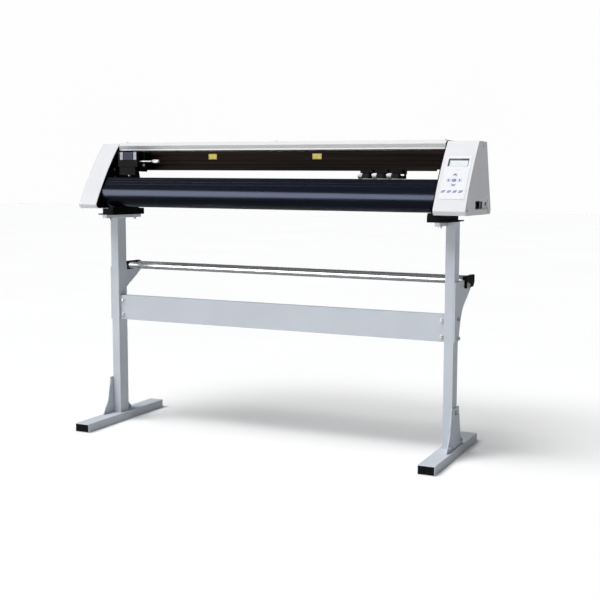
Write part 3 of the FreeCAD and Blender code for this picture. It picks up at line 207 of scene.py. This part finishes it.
def soften(piece, width):
    """Rounded edges that catch the light, and normals that suit them."""
    weld = piece.modifiers.new("weld", "WELD")
    weld.merge_threshold = 1e-5
    bevel = piece.modifiers.new("bevel", "BEVEL")
    bevel.width = width * MM
    bevel.segments = 3
    bevel.limit_method = "ANGLE"
    bevel.angle_limit = math.radians(32)
    piece.modifiers.new("normals", "WEIGHTED_NORMAL").keep_sharp = True


def dress_nodes():
    """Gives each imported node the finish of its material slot."""
    for row in frame["record"]["subparts"]:
        piece = frame["nodes"][row["node"]]
        finish = row["material_slot"]
        piece.data.materials.clear()
        piece.data.materials.append(MATERIALS[finish])
        if finish in EDGES:
            soften(piece, EDGES[finish])


# ---------------------------------------------------------------- building blocks

def piece_from(name, bm, finish, body, edge):
    """A new piece that rides on a body, with its edges softened by some millimetres."""
    bmesh.ops.recalc_face_normals(bm, faces=bm.faces)
    mesh = bpy.data.meshes.new(name)
    bm.to_mesh(mesh)
    bm.free()
    for polygon in mesh.polygons:
        polygon.use_smooth = True
    piece = bpy.data.objects.new(name, mesh)
    bpy.context.scene.collection.objects.link(piece)
    mesh.materials.append(finish)
    soften(piece, edge)
    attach(piece, body)
    return piece


def face_frame(x, z):
    """On the keypad face at X and Z: X along the machine, Y up the face, Z out of it."""
    rise = (z - FACE_AXIS[1]) / FACE_RADIUS
    run = math.sqrt(1 - rise * rise)
    spot = Vector((x, FACE_AXIS[0] - FACE_RADIUS * run, z))
    columns = (Vector((1, 0, 0)), Vector((0, rise, run)), Vector((0, -run, rise)))
    turn = Matrix(columns).transposed().to_4x4()
    return Matrix.Translation(spot) @ turn


def slab(bm, outline, low, high, place):
    """A plate of any outline, between two heights of a local frame."""
    rings = [[bm.verts.new(place @ Vector((u, v, w))) for u, v in outline] for w in (low, high)]
    closed(bm, rings)
    join_rings(bm, *rings)


def rectangle(width, tall, across=0.0, up=0.0):
    """An outline for a slab, anticlockwise from its lower left corner."""
    return [(across - width / 2, up - tall / 2), (across + width / 2, up - tall / 2),
            (across + width / 2, up + tall / 2), (across - width / 2, up + tall / 2)]


def lathe(bm, profile, place, turns=48, wave=None):
    """A turned shape: (distance along, radius) pairs round a local Z axis, left open at its ends."""
    rings = []
    for along, radius in profile:
        ring = []
        for i in range(turns):
            angle = 2 * math.pi * i / turns
            grown = radius + (wave(i, along) if wave else 0.0)
            spot = Vector((grown * math.cos(angle), grown * math.sin(angle), along))
            ring.append(bm.verts.new(place @ spot))
        rings.append(ring)
    for first, second in zip(rings, rings[1:]):
        join_rings(bm, first, second)
    return rings


def closed(bm, rings):
    """Both ends of a turned shape filled in."""
    bm.faces.new(rings[0][::-1])
    bm.faces.new(rings[-1])


def join_rings(bm, first, second):
    """A band of faces between two rings of the same count."""
    count = len(first)
    for i in range(count):
        j = (i + 1) % count
        bm.faces.new((first[i], first[j], second[j], second[i]))


def middle(node):
    """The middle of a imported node's box."""
    low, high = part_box(node)
    return (low + high) / 2


# ---------------------------------------------------------------- keypad

# The display's middle, from the middle and the top of the keypad film.
DISPLAY_ACROSS = -0.001
DISPLAY_DROP = 0.020
# Bars of the bezel in millimetres: across, up, width, height. The top and left bars are wider than
# the bottom and right ones as painted shade of the window's edge. Levels are outwards from the face.
BEZEL_AND_SHADE_BARS = ((0, 13.0, 67.4, 4.4), (0, -14.2, 67.4, 2.0), (-31.5, -1.2, 4.4, 24.0),
              (32.3, -1.2, 2.8, 24.0))
BEZEL_LEVELS = (-4.4 * MM, -1.6 * MM)
SCREEN_SIZE = (66 * MM, 27 * MM)
SCREEN_LEVELS = (-4.2 * MM, -3.0 * MM)
KEY_MARK_LEVELS = (1.45 * MM, 1.75 * MM)


def screen_finish():
    """A pale screen with faint character cells."""
    n = Nodes("display_screen")
    cells = n.add("TexBrick", offset=0.0)
    for key, value in (("Scale", 1.0), ("Mortar Size", 0.0007), ("Brick Width", 0.0036),
                       ("Row Height", 0.0095)):
        cells.inputs[key].default_value = value
    cells.inputs["Color1"].default_value = (0.58, 0.63, 0.63, 1)
    cells.inputs["Color2"].default_value = (0.64, 0.69, 0.69, 1)
    cells.inputs["Mortar"].default_value = (0.72, 0.77, 0.77, 1)
    n.link(n.place, cells.inputs["Vector"])
    n.link(cells.outputs["Color"], n.shader.inputs["Base Color"])
    n.shader.inputs["Roughness"].default_value = 0.2
    n.bump(n.noise(300), 0.05, 0.0001)
    return n.material


def make_display():
    """Dark bezel, its top and left bars widened as painted shade of the window's edge, and pale
    two-line screen, set back in their window.
    """
    low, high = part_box("panel_overlay")
    place = face_frame((low.x + high.x) / 2 + DISPLAY_ACROSS, high.z - DISPLAY_DROP)
    bm = bmesh.new()
    # The wider top and left bars are partly real bezel and partly painted shade of the window's edge.
    for across, up, width, tall in BEZEL_AND_SHADE_BARS:
        slab(bm, rectangle(width * MM, tall * MM, across * MM, up * MM), *BEZEL_LEVELS, place)
    piece_from("display_bezel_and_shade", bm, DETAILS["bezel_and_shade_grey"], ROOT, 0.2)
    finish = screen_finish()
    bm = bmesh.new()
    slab(bm, rectangle(*SCREEN_SIZE, 0, -1 * MM), *SCREEN_LEVELS, place)
    piece_from("display_screen", bm, finish, ROOT, 0.2)


def chevron(heading, long, wide, thick):
    """A bent bar that points along a heading, in degrees from the right."""
    tip, wing = long / 2, wide / 2
    spots = [(tip, 0), (thick - tip, wing), (-tip, wing), (tip - thick, 0), (-tip, -wing),
             (thick - tip, -wing)]
    turn = math.radians(heading)
    return [(u * math.cos(turn) - v * math.sin(turn), u * math.sin(turn) + v * math.cos(turn))
            for u, v in spots]


def make_key_marks():
    """Raised marks on the key caps: arrows round a bar, and a slanted bar on each lower key."""
    marks = {"key_enter": rectangle(4.6 * MM, 1.2 * MM)}
    for name, heading, long, wide in (("key_up", 90, 7.2, 10.4), ("key_down", 270, 7.2, 10.4),
                                      ("key_left", 180, 8.4, 8.0), ("key_right", 0, 8.4, 8.0)):
        marks[name] = chevron(heading, long * MM, wide * MM, 4.4 * MM)
    colours = {"key_up": "arrow_grey", "key_down": "arrow_grey", "key_left": "arrow_blue",
               "key_right": "arrow_blue"}
    for number in (1, 2, 3, 4):
        marks["key_function_%d" % number] = [(-0.0030, -0.0004), (0.0030, -0.0004),
                                             (0.0033, 0.0004), (-0.0027, 0.0004)]
    for name, outline in marks.items():
        spot = middle(name)
        place = face_frame(spot.x, key_height(spot))
        bm = bmesh.new()
        slab(bm, outline, *KEY_MARK_LEVELS, place)
        slot = "key_blue" if name in colours else "key_white"
        finish = DETAILS[colours[name]] if name in colours else MATERIALS[slot]
        piece_from(name + "_mark", bm, finish, name + "_cap", 0.08)


def key_height(centre):
    """The face height whose outward line passes through a key's middle."""
    out = Vector((0, centre.y - FACE_AXIS[0], centre.z - FACE_AXIS[1])).normalized()
    return FACE_AXIS[1] + FACE_RADIUS * out.z


# ---------------------------------------------------------------- small parts

# Screw heads: places and radii. The covers' are (Y, Z), the lid's are X.
COVER_SCREWS = ((-0.102, 0.812), (0.136, 0.808), (0.062, 1.018))
COVER_SCREW_RADIUS = 0.004
LID_SCREWS = (-0.634, -0.010, 0.606)
LID_SCREW_Y = 0.040
LID_SCREW_RADIUS = 0.005
END_PLATE_SCREW_Y, END_PLATE_SCREW_Z = -0.020, 0.939
END_PLATE_SCREW_RADIUS, END_PLATE_SCREW_TALL = 0.0042, 0.0018
CARRIAGE_SCREW_X, CARRIAGE_SCREW_Z = -0.5075, 0.9535
CARRIAGE_SCREW_RADIUS, CARRIAGE_SCREW_TALL = 0.0048, 0.002
HOOD_DEPTH = 0.030

def flat_plate(bm, x, y, z):
    """A block between two limits on each axis."""
    place = Matrix.Translation((0, 0, 0))
    slab(bm, [(x[0], y[0]), (x[1], y[0]), (x[1], y[1]), (x[0], y[1])], z[0], z[1], place)


def towards(spot, axis):
    """A frame at a spot whose local Z points along an axis."""
    return Matrix.Translation(spot) @ Vector(axis).to_track_quat("Z", "Y").to_matrix().to_4x4()


def recessed_head(bm, place, radius, height):
    """A screw head with a cross recess cut into its top."""
    turns = 28
    arm, half = radius * 0.62, radius * 0.17
    ring = [(radius * math.cos(2 * math.pi * i / turns), radius * math.sin(2 * math.pi * i / turns))
            for i in range(turns)]
    cross = [(arm, -half), (arm, half), (half, half), (half, arm), (-half, arm), (-half, half),
             (-arm, half), (-arm, -half), (-half, -half), (-half, -arm), (half, -arm),
             (half, -half)]

    def loop(outline, level, shrink=1.0):
        return [bm.verts.new(place @ Vector((u * shrink, v * shrink, level))) for u, v in outline]

    foot, shoulder, top = loop(ring, 0), loop(ring, height * 0.6), loop(ring, height, 0.86)
    edge, floor = loop(cross, height), loop(cross, height * 0.35)
    for first, second in ((foot, shoulder), (shoulder, top), (floor, edge)):
        count = len(first)
        for i in range(count):
            j = (i + 1) % count
            bm.faces.new((first[i], first[j], second[j], second[i]))
    bm.faces.new(foot[::-1])
    bm.faces.new(floor)
    rims = [bm.edges.get((line[i], line[(i + 1) % len(line)])) for line in (top, edge)
            for i in range(len(line))]
    bmesh.ops.triangle_fill(bm, use_beauty=True, edges=rims)


def make_screws():
    """Cross-head screws of the covers and the lid, with two on the carriage and the end plate."""
    bm = bmesh.new()
    cover_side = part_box("end_cover_right")[1].x
    lid_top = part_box("top_cover")[1].z
    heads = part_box("cover_screws")[1]
    for way in (-1, 1):
        for y, z in COVER_SCREWS:
            recessed_head(bm, towards((cover_side * way, y, z), (way, 0, 0)), COVER_SCREW_RADIUS,
                          heads.x - cover_side)
    for x in LID_SCREWS:
        recessed_head(bm, towards((x, LID_SCREW_Y, lid_top), (0, 0, 1)), LID_SCREW_RADIUS,
                      heads.z - lid_top)
    piece = piece_from("cross_head_screws", bm, MATERIALS["zinc_steel"], ROOT, 0.1)
    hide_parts("cover_screws")
    plate_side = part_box("side_frame_left")[1].x
    bm = bmesh.new()
    recessed_head(bm, towards((plate_side, END_PLATE_SCREW_Y, END_PLATE_SCREW_Z), (1, 0, 0)),
                  END_PLATE_SCREW_RADIUS, END_PLATE_SCREW_TALL)
    piece_from("end_plate_screw", bm, MATERIALS["zinc_steel"], ROOT, 0.1)
    shell_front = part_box("carriage_cover")[0].y + HOOD_DEPTH
    bm = bmesh.new()
    recessed_head(bm, towards((CARRIAGE_SCREW_X, shell_front, CARRIAGE_SCREW_Z), (0, -1, 0)),
                  CARRIAGE_SCREW_RADIUS, CARRIAGE_SCREW_TALL)
    piece_from("carriage_screw", bm, MATERIALS["zinc_steel"], "carriage_unit", 0.1)


def make_rollers():
    """White tyres with worn grooves and rounded shoulders, on their axles."""
    for number in (1, 2, 3):
        low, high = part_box("pinch_roller_%d" % number)
        radius = (high.z - low.z) / 2
        wide = high.x - low.x
        bore = 0.00305
        profile = [(0, bore), (0, radius * 0.55), (wide * 0.03, radius * 0.6),
                   (wide * 0.03, radius * 0.86), (wide * 0.08, radius * 0.97), (wide * 0.14, radius)]
        for groove in (0.3, 0.5, 0.7):
            profile += [(wide * (groove - 0.03), radius), (wide * (groove - 0.015), radius * 0.95),
                        (wide * (groove + 0.015), radius * 0.95), (wide * (groove + 0.03), radius)]
        profile += [(wide * 0.86, radius), (wide * 0.92, radius * 0.97), (wide * 0.97, radius * 0.86),
                    (wide * 0.97, radius * 0.6), (wide, radius * 0.55), (wide, bore)]
        bm = bmesh.new()
        centre = (low + high) / 2
        rings = lathe(bm, profile, towards((low.x, centre.y, centre.z), (1, 0, 0)))
        join_rings(bm, rings[-1], rings[0])
        piece = piece_from("pinch_tyre_%d" % number, bm, MATERIALS["roller_white"],
                           "pinch_wheel_%d" % number, 0.12)
        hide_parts("pinch_roller_%d" % number)


def make_clamp_knob():
    """Clamp screw: plain shank, tapered neck and a knurled barrel with a rounded end."""
    low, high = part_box("clamp_screw")
    centre = (low + high) / 2
    radius = (high.z - low.z) / 2
    barrel, shank = 0.034, 0.003
    start = high.x - low.x - barrel
    grip, grip_long = 0.008, 0.020
    profile = [(0, shank * 0.7), (0.001, shank), (start - 0.002, shank), (start, radius * 0.62),
               (start + grip / 2, radius * 0.72), (start + grip, radius * 0.98)]
    steps = 14
    profile += [(start + grip + grip_long * i / steps, radius * 0.98) for i in range(1, steps)]
    profile += [(start + 0.028, radius * 0.98), (start + 0.0285, radius * 0.84),
                (start + 0.030, radius * 0.84), (start + 0.0305, radius * 0.94),
                (barrel + start - 0.001, radius * 0.9), (barrel + start, radius * 0.7)]

    def knurl(i, along):
        """Ridges and grooves along the grip, two points wide each."""
        inside = start + 0.009 < along < start + 0.0275
        return (0.00022 if (i % 4) < 2 else -0.0002) if inside else 0.0

    bm = bmesh.new()
    closed(bm, lathe(bm, profile, towards((low.x, centre.y, centre.z), (1, 0, 0)), 96, knurl))
    piece = piece_from("clamp_knob_turned", bm, MATERIALS["knife_steel"], "clamp_knob",
                       0.05)
    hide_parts("clamp_screw")


TUBE_WALL = 0.002
PLUG_RIM = 0.0022
PLUG_RIB_HALF = 0.0008


def behind(end, way, near, far):
    """The Y limits between two depths behind a tube's end, in front (-1) or at the back (1)."""
    return tuple(sorted((way * (end - near), way * (end - far))))


def make_foot_caps():
    """Tube plugs with a raised rim and two ribs across their face."""
    bm = bmesh.new()
    rim = PLUG_RIM
    for side in ("left", "right"):
        low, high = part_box("foot_" + side)
        x = (low.x + TUBE_WALL, high.x - TUBE_WALL)
        z = (low.z + TUBE_WALL, high.z - TUBE_WALL)
        for way in (-1, 1):
            flat_plate(bm, x, behind(high.y, way, 0.012, 0.0014), z)
            proud = behind(high.y, way, 0.0016, 0)
            flat_plate(bm, x, proud, (z[0], z[0] + rim))
            flat_plate(bm, x, proud, (z[1] - rim, z[1]))
            flat_plate(bm, (x[0], x[0] + rim), proud, (z[0] + rim, z[1] - rim))
            flat_plate(bm, (x[1] - rim, x[1]), proud, (z[0] + rim, z[1] - rim))
            for part in (1, 2):
                across = x[0] + (x[1] - x[0]) * part / 3
                flat_plate(bm, (across - PLUG_RIB_HALF, across + PLUG_RIB_HALF),
                           behind(high.y, way, 0.0016, 0.0005), (z[0] + rim, z[1] - rim))
    piece = piece_from("foot_plugs", bm, MATERIALS["black_plastic"], ROOT, 0.3)
    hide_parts("foot_end_caps")


def bead(bm, start, end, radius):
    """A weld bead: a rippled bar laid in a corner."""
    run = Vector(end) - Vector(start)
    steps = max(8, int(run.length / 0.0022))
    profile = [(run.length * i / steps,
                radius * (0.84 + 0.16 * abs(math.sin(i * 1.9)) + 0.05 * math.sin(i * 0.73)))
               for i in range(steps + 1)]
    closed(bm, lathe(bm, profile, towards(start, run), 10))


# The posts: their X, and half their width and depth, with the thickness of the bar on their heads.
POST_X, POST_HALF_WIDE, POST_HALF_DEEP = 0.650, 0.016, 0.025
HEAD_BAR_THICK = 0.012
FOOT_BEAD_RADIUS, HEAD_BEAD_RADIUS = 0.0022, 0.002


def make_welds():
    """Beads round the feet of the posts and under their head bars."""
    bm = bmesh.new()
    half, deep = POST_HALF_WIDE, POST_HALF_DEEP
    for side, way in (("left", -1), ("right", 1)):
        foot_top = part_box("foot_" + side)[1].z
        bar_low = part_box("upright_" + side)[1].z - HEAD_BAR_THICK
        centre = POST_X * way
        inside = centre - half * way
        for y in (-deep, deep):
            bead(bm, (centre - half, y, foot_top), (centre + half, y, foot_top),
                 FOOT_BEAD_RADIUS)
        bead(bm, (inside, -deep, foot_top), (inside, deep, foot_top), FOOT_BEAD_RADIUS)
        bead(bm, (inside, -deep, bar_low), (inside, deep, bar_low), HEAD_BEAD_RADIUS)
    piece_from("weld_beads", bm, MATERIALS["stand_paint"], ROOT, 0.1)


LABELS = {"left": (-0.267, -0.234), "right": (0.142, 0.176)}
LABEL_HEIGHTS = (0.9750, 0.9940)


def make_beam_labels():
    """Two blank yellow labels with a dark line inside their edge."""
    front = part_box("beam")[0].y
    line = 0.0006
    low, high = LABEL_HEIGHTS
    for name, (left, right) in LABELS.items():
        bm = bmesh.new()
        flat_plate(bm, (left, right), (front - 0.0002, front + 0.0002), (low, high))
        piece_from("beam_label_" + name, bm, DETAILS["label_yellow"], ROOT, 0.05)
        x = (left + 0.0022, right - 0.0022)
        z = (low + 0.0014, high - 0.0014)
        between = (z[0] + line, z[1] - line)
        bm = bmesh.new()
        for edge_x, edge_z in ((x, (z[0], z[0] + line)), (x, (z[1] - line, z[1])),
                               ((x[0], x[0] + line), between), ((x[1] - line, x[1]), between)):
            flat_plate(bm, edge_x, (front - 0.0003, front), edge_z)
        piece_from("beam_label_edge_" + name, bm, DETAILS["label_edge"], ROOT,
                   0.02)


# The carriage's printed panel: its ends along X, its drop from the hood's top, and a plate's width.
PANEL_LEFT, PANEL_RIGHT = -0.5885, -0.5185
PANEL_DROP = (0.030, 0.0025)
PLATE_WIDE = 0.0125
PANEL_RIBS = 11


def make_carriage_panel():
    """Two pale plates with a ribbed dark field between them, on the hood's front."""
    low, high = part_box("carriage_cover")
    front = low.y
    z = (high.z - PANEL_DROP[0], high.z - PANEL_DROP[1])
    left, right = PANEL_LEFT, PANEL_RIGHT
    for name, x in (("left", (left, left + PLATE_WIDE)), ("right", (right - PLATE_WIDE, right))):
        bm = bmesh.new()
        flat_plate(bm, x, (front - 0.0006, front + 0.0005), z)
        piece_from("carriage_plate_" + name, bm, DETAILS["print_grey"], "carriage_unit",
                   0.25)
    bm = bmesh.new()
    flat_plate(bm, (left + 0.016, right - 0.016), (front - 0.0002, front + 0.0005), z)
    step = (right - left - 0.034) / PANEL_RIBS
    for i in range(PANEL_RIBS):
        x = left + 0.017 + step * (i + 0.5)
        flat_plate(bm, (x - step * 0.28, x + step * 0.28), (front - 0.0009, front), z)
    piece_from("carriage_ribs", bm, DETAILS["print_blue"], "carriage_unit", 0.15)


# The line under the display: its middle (X, Z), and its length and height.
LINE_SPOT = (0.6785, 0.939)
LINE_SIZE = (0.019, 0.0008)


def make_overlay_line():
    """The thin grey line under the display."""
    bm = bmesh.new()
    slab(bm, rectangle(*LINE_SIZE), 0.7 * MM, 0.9 * MM, face_frame(*LINE_SPOT))
    piece_from("panel_line", bm, DETAILS["line_grey"], ROOT, 0.02)


# Inlet pins (Y, Z) from the inlet's middle, and their size.
PINS = ((0, 0.0028), (-0.007, -0.0022), (0.007, -0.0022))
PIN_WIDE, PIN_TALL = 0.002, 0.0045
# Heights of the rocker's two marks, and the ring's outer and inner radii.
ROCKER_BAR_Z, ROCKER_RING_Z = 0.8335, 0.8235
RING_OUTER, RING_INNER = 0.0019, 0.0014


def make_inlet_pins():
    """Three flat pins in the mains inlet."""
    low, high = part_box("power_inlet")
    centre = (low + high) / 2
    bm = bmesh.new()
    for across, up in PINS:
        y, z = centre.y + across, centre.z + up
        flat_plate(bm, (low.x + 0.005, high.x - 0.005), (y - PIN_WIDE / 2, y + PIN_WIDE / 2),
                   (z - PIN_TALL / 2, z + PIN_TALL / 2))
    piece_from("inlet_pins", bm, DETAILS["pin_brass"], ROOT, 0.2)


def make_port_tongue():
    """The flat tongue inside the data port."""
    low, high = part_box("data_port")
    centre = (low + high) / 2
    bm = bmesh.new()
    flat_plate(bm, (low.x + 0.007, high.x - 0.002), (centre.y - 0.004, centre.y + 0.004),
               (centre.z - 0.0008, centre.z + 0.0008))
    piece_from("port_tongue", bm, MATERIALS["black_plastic"], ROOT, 0.15)


def make_rocker_marks():
    """A bar on the rocker's upper half and a ring on its lower half."""
    low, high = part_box("power_switch")
    y = (low.y + high.y) / 2
    bm = bmesh.new()
    bar_place = towards((high.x - 0.0002, y, ROCKER_BAR_Z), (1, 0, -0.18))
    slab(bm, rectangle(0.0006, 0.004), 0, 0.0002, bar_place)
    ring_place = towards((high.x - 0.0013, y, ROCKER_RING_Z), (1, 0, 0.05))
    rings = lathe(bm, [(0, RING_INNER), (0.0002, RING_INNER), (0.0002, RING_OUTER),
                       (0, RING_OUTER)], ring_place, 28)
    join_rings(bm, rings[-1], rings[0])
    piece_from("rocker_marks", bm, MATERIALS["key_white"], "power_rocker", 0.02)


# ---------------------------------------------------------------- floor, light and camera

BACKDROP_RADIUS = 40
FLOOR_HALF = 30
FRONT_BANK_SPOT = (-1.7, -3.4, 1.6)
FRONT_BANK_AIM = (-0.1, 0, 0.86)
FRONT_BANK_SIZE = (3.8, 2.8)
OVERHEAD_HEADING = (0.35, 0.44, -1.0)
# The camera: lens and sensor in millimetres, shift in frame widths, angles in degrees.
LENS, SENSOR = 59.63, 36
SHIFT = (-0.1087, -0.0169)
CAMERA_SPOT = (1.6144, -3.068, 0.8894)
CAMERA_HEADING, CAMERA_DIP, CAMERA_ROLL = 22.46, 6.02, 0.516


def studio_object(name, bm, finish):
    """An object of the studio, which isn't part of the machine."""
    mesh = bpy.data.meshes.new(name)
    bm.to_mesh(mesh)
    bm.free()
    item = bpy.data.objects.new(name, mesh)
    bpy.context.scene.collection.objects.link(item)
    mesh.materials.append(finish)
    return item


def make_backdrop():
    """A pale dome that only the camera sees, so that it doesn't light the object."""
    n = Nodes("studio_backdrop")
    glow = n.add("Emission")
    glow.inputs["Strength"].default_value = 1.0
    n.link(n.blend(n.noise(0.05, 2), (0.985, 0.985, 0.985), (0.995, 0.995, 0.995)),
           glow.inputs["Color"])
    n.link(glow.outputs["Emission"], n.tree.nodes["Material Output"].inputs["Surface"])
    bm = bmesh.new()
    bmesh.ops.create_icosphere(bm, subdivisions=4, radius=BACKDROP_RADIUS)
    dome = studio_object("studio_backdrop", bm, n.material)
    dome.visible_diffuse = False
    dome.visible_glossy = False
    dome.visible_transmission = False
    dome.visible_shadow = False


def make_stage():
    """The pale floor, unseen in reflections, and a dim even sky."""
    n = Nodes("studio_floor")
    n.link(n.blend(n.noise(0.7, 3), (0.83, 0.83, 0.83), (0.845, 0.845, 0.845)),
           n.shader.inputs["Base Color"])
    n.shader.inputs["Roughness"].default_value = 0.8
    n.shader.inputs["Specular IOR Level"].default_value = 0.1
    bm = bmesh.new()
    bmesh.ops.create_grid(bm, x_segments=4, y_segments=4, size=FLOOR_HALF)
    floor = studio_object("studio_floor", bm, n.material)
    floor.visible_glossy = False
    world = bpy.data.worlds.new("studio")
    world.use_nodes = True
    sky = world.node_tree.nodes["Background"]
    sky.inputs["Color"].default_value = (0.95, 0.97, 1.0, 1)
    sky.inputs["Strength"].default_value = 0.17
    bpy.context.scene.world = world


def make_lights():
    """A soft overhead bank from the front left, and a front bank that only shines on gloss."""
    bpy.context.scene.view_settings.view_transform = "Standard"
    lamp = bpy.data.lights.new("overhead_bank", "SUN")
    lamp.energy = 3.8
    lamp.angle = math.radians(45)
    overhead = bpy.data.objects.new("overhead_bank", lamp)
    overhead.rotation_mode = "QUATERNION"
    overhead.rotation_quaternion = Vector(OVERHEAD_HEADING).to_track_quat("-Z", "Y")
    overhead.visible_glossy = False
    lamp = bpy.data.lights.new("front_bank", "AREA")
    lamp.shape = "RECTANGLE"
    lamp.size, lamp.size_y = FRONT_BANK_SIZE
    lamp.energy = 190
    front = bpy.data.objects.new("front_bank", lamp)
    spot = Vector(FRONT_BANK_SPOT)
    front.matrix_world = towards(spot, spot - Vector(FRONT_BANK_AIM))
    front.visible_diffuse = False
    for item in (overhead, front):
        bpy.context.scene.collection.objects.link(item)


def make_camera():
    """A camera in front of the machine's right end, turned left and tilted down a little."""
    camera = bpy.data.cameras.new("camera")
    camera.lens = LENS
    camera.sensor_width = SENSOR
    camera.shift_x, camera.shift_y = SHIFT
    camera.clip_end = 200
    item = bpy.data.objects.new("camera", camera)
    heading, dip, roll = (math.radians(angle) for angle in
                          (CAMERA_HEADING, CAMERA_DIP, CAMERA_ROLL))
    turn = Euler((0, 0, heading)).to_matrix() @ Euler((math.pi / 2 - dip, 0, 0)).to_matrix()
    turn = turn @ Euler((0, 0, roll)).to_matrix()
    item.matrix_world = Matrix.Translation(CAMERA_SPOT) @ turn.to_4x4()
    bpy.context.scene.collection.objects.link(item)
    bpy.context.scene.camera = item


dress_nodes()
make_display()
make_key_marks()
make_screws()
make_rollers()
make_clamp_knob()
make_foot_caps()
make_welds()
make_beam_labels()
make_carriage_panel()
make_overlay_line()
make_inlet_pins()
make_port_tongue()
make_rocker_marks()
make_backdrop()
make_stage()
make_lights()
make_camera()
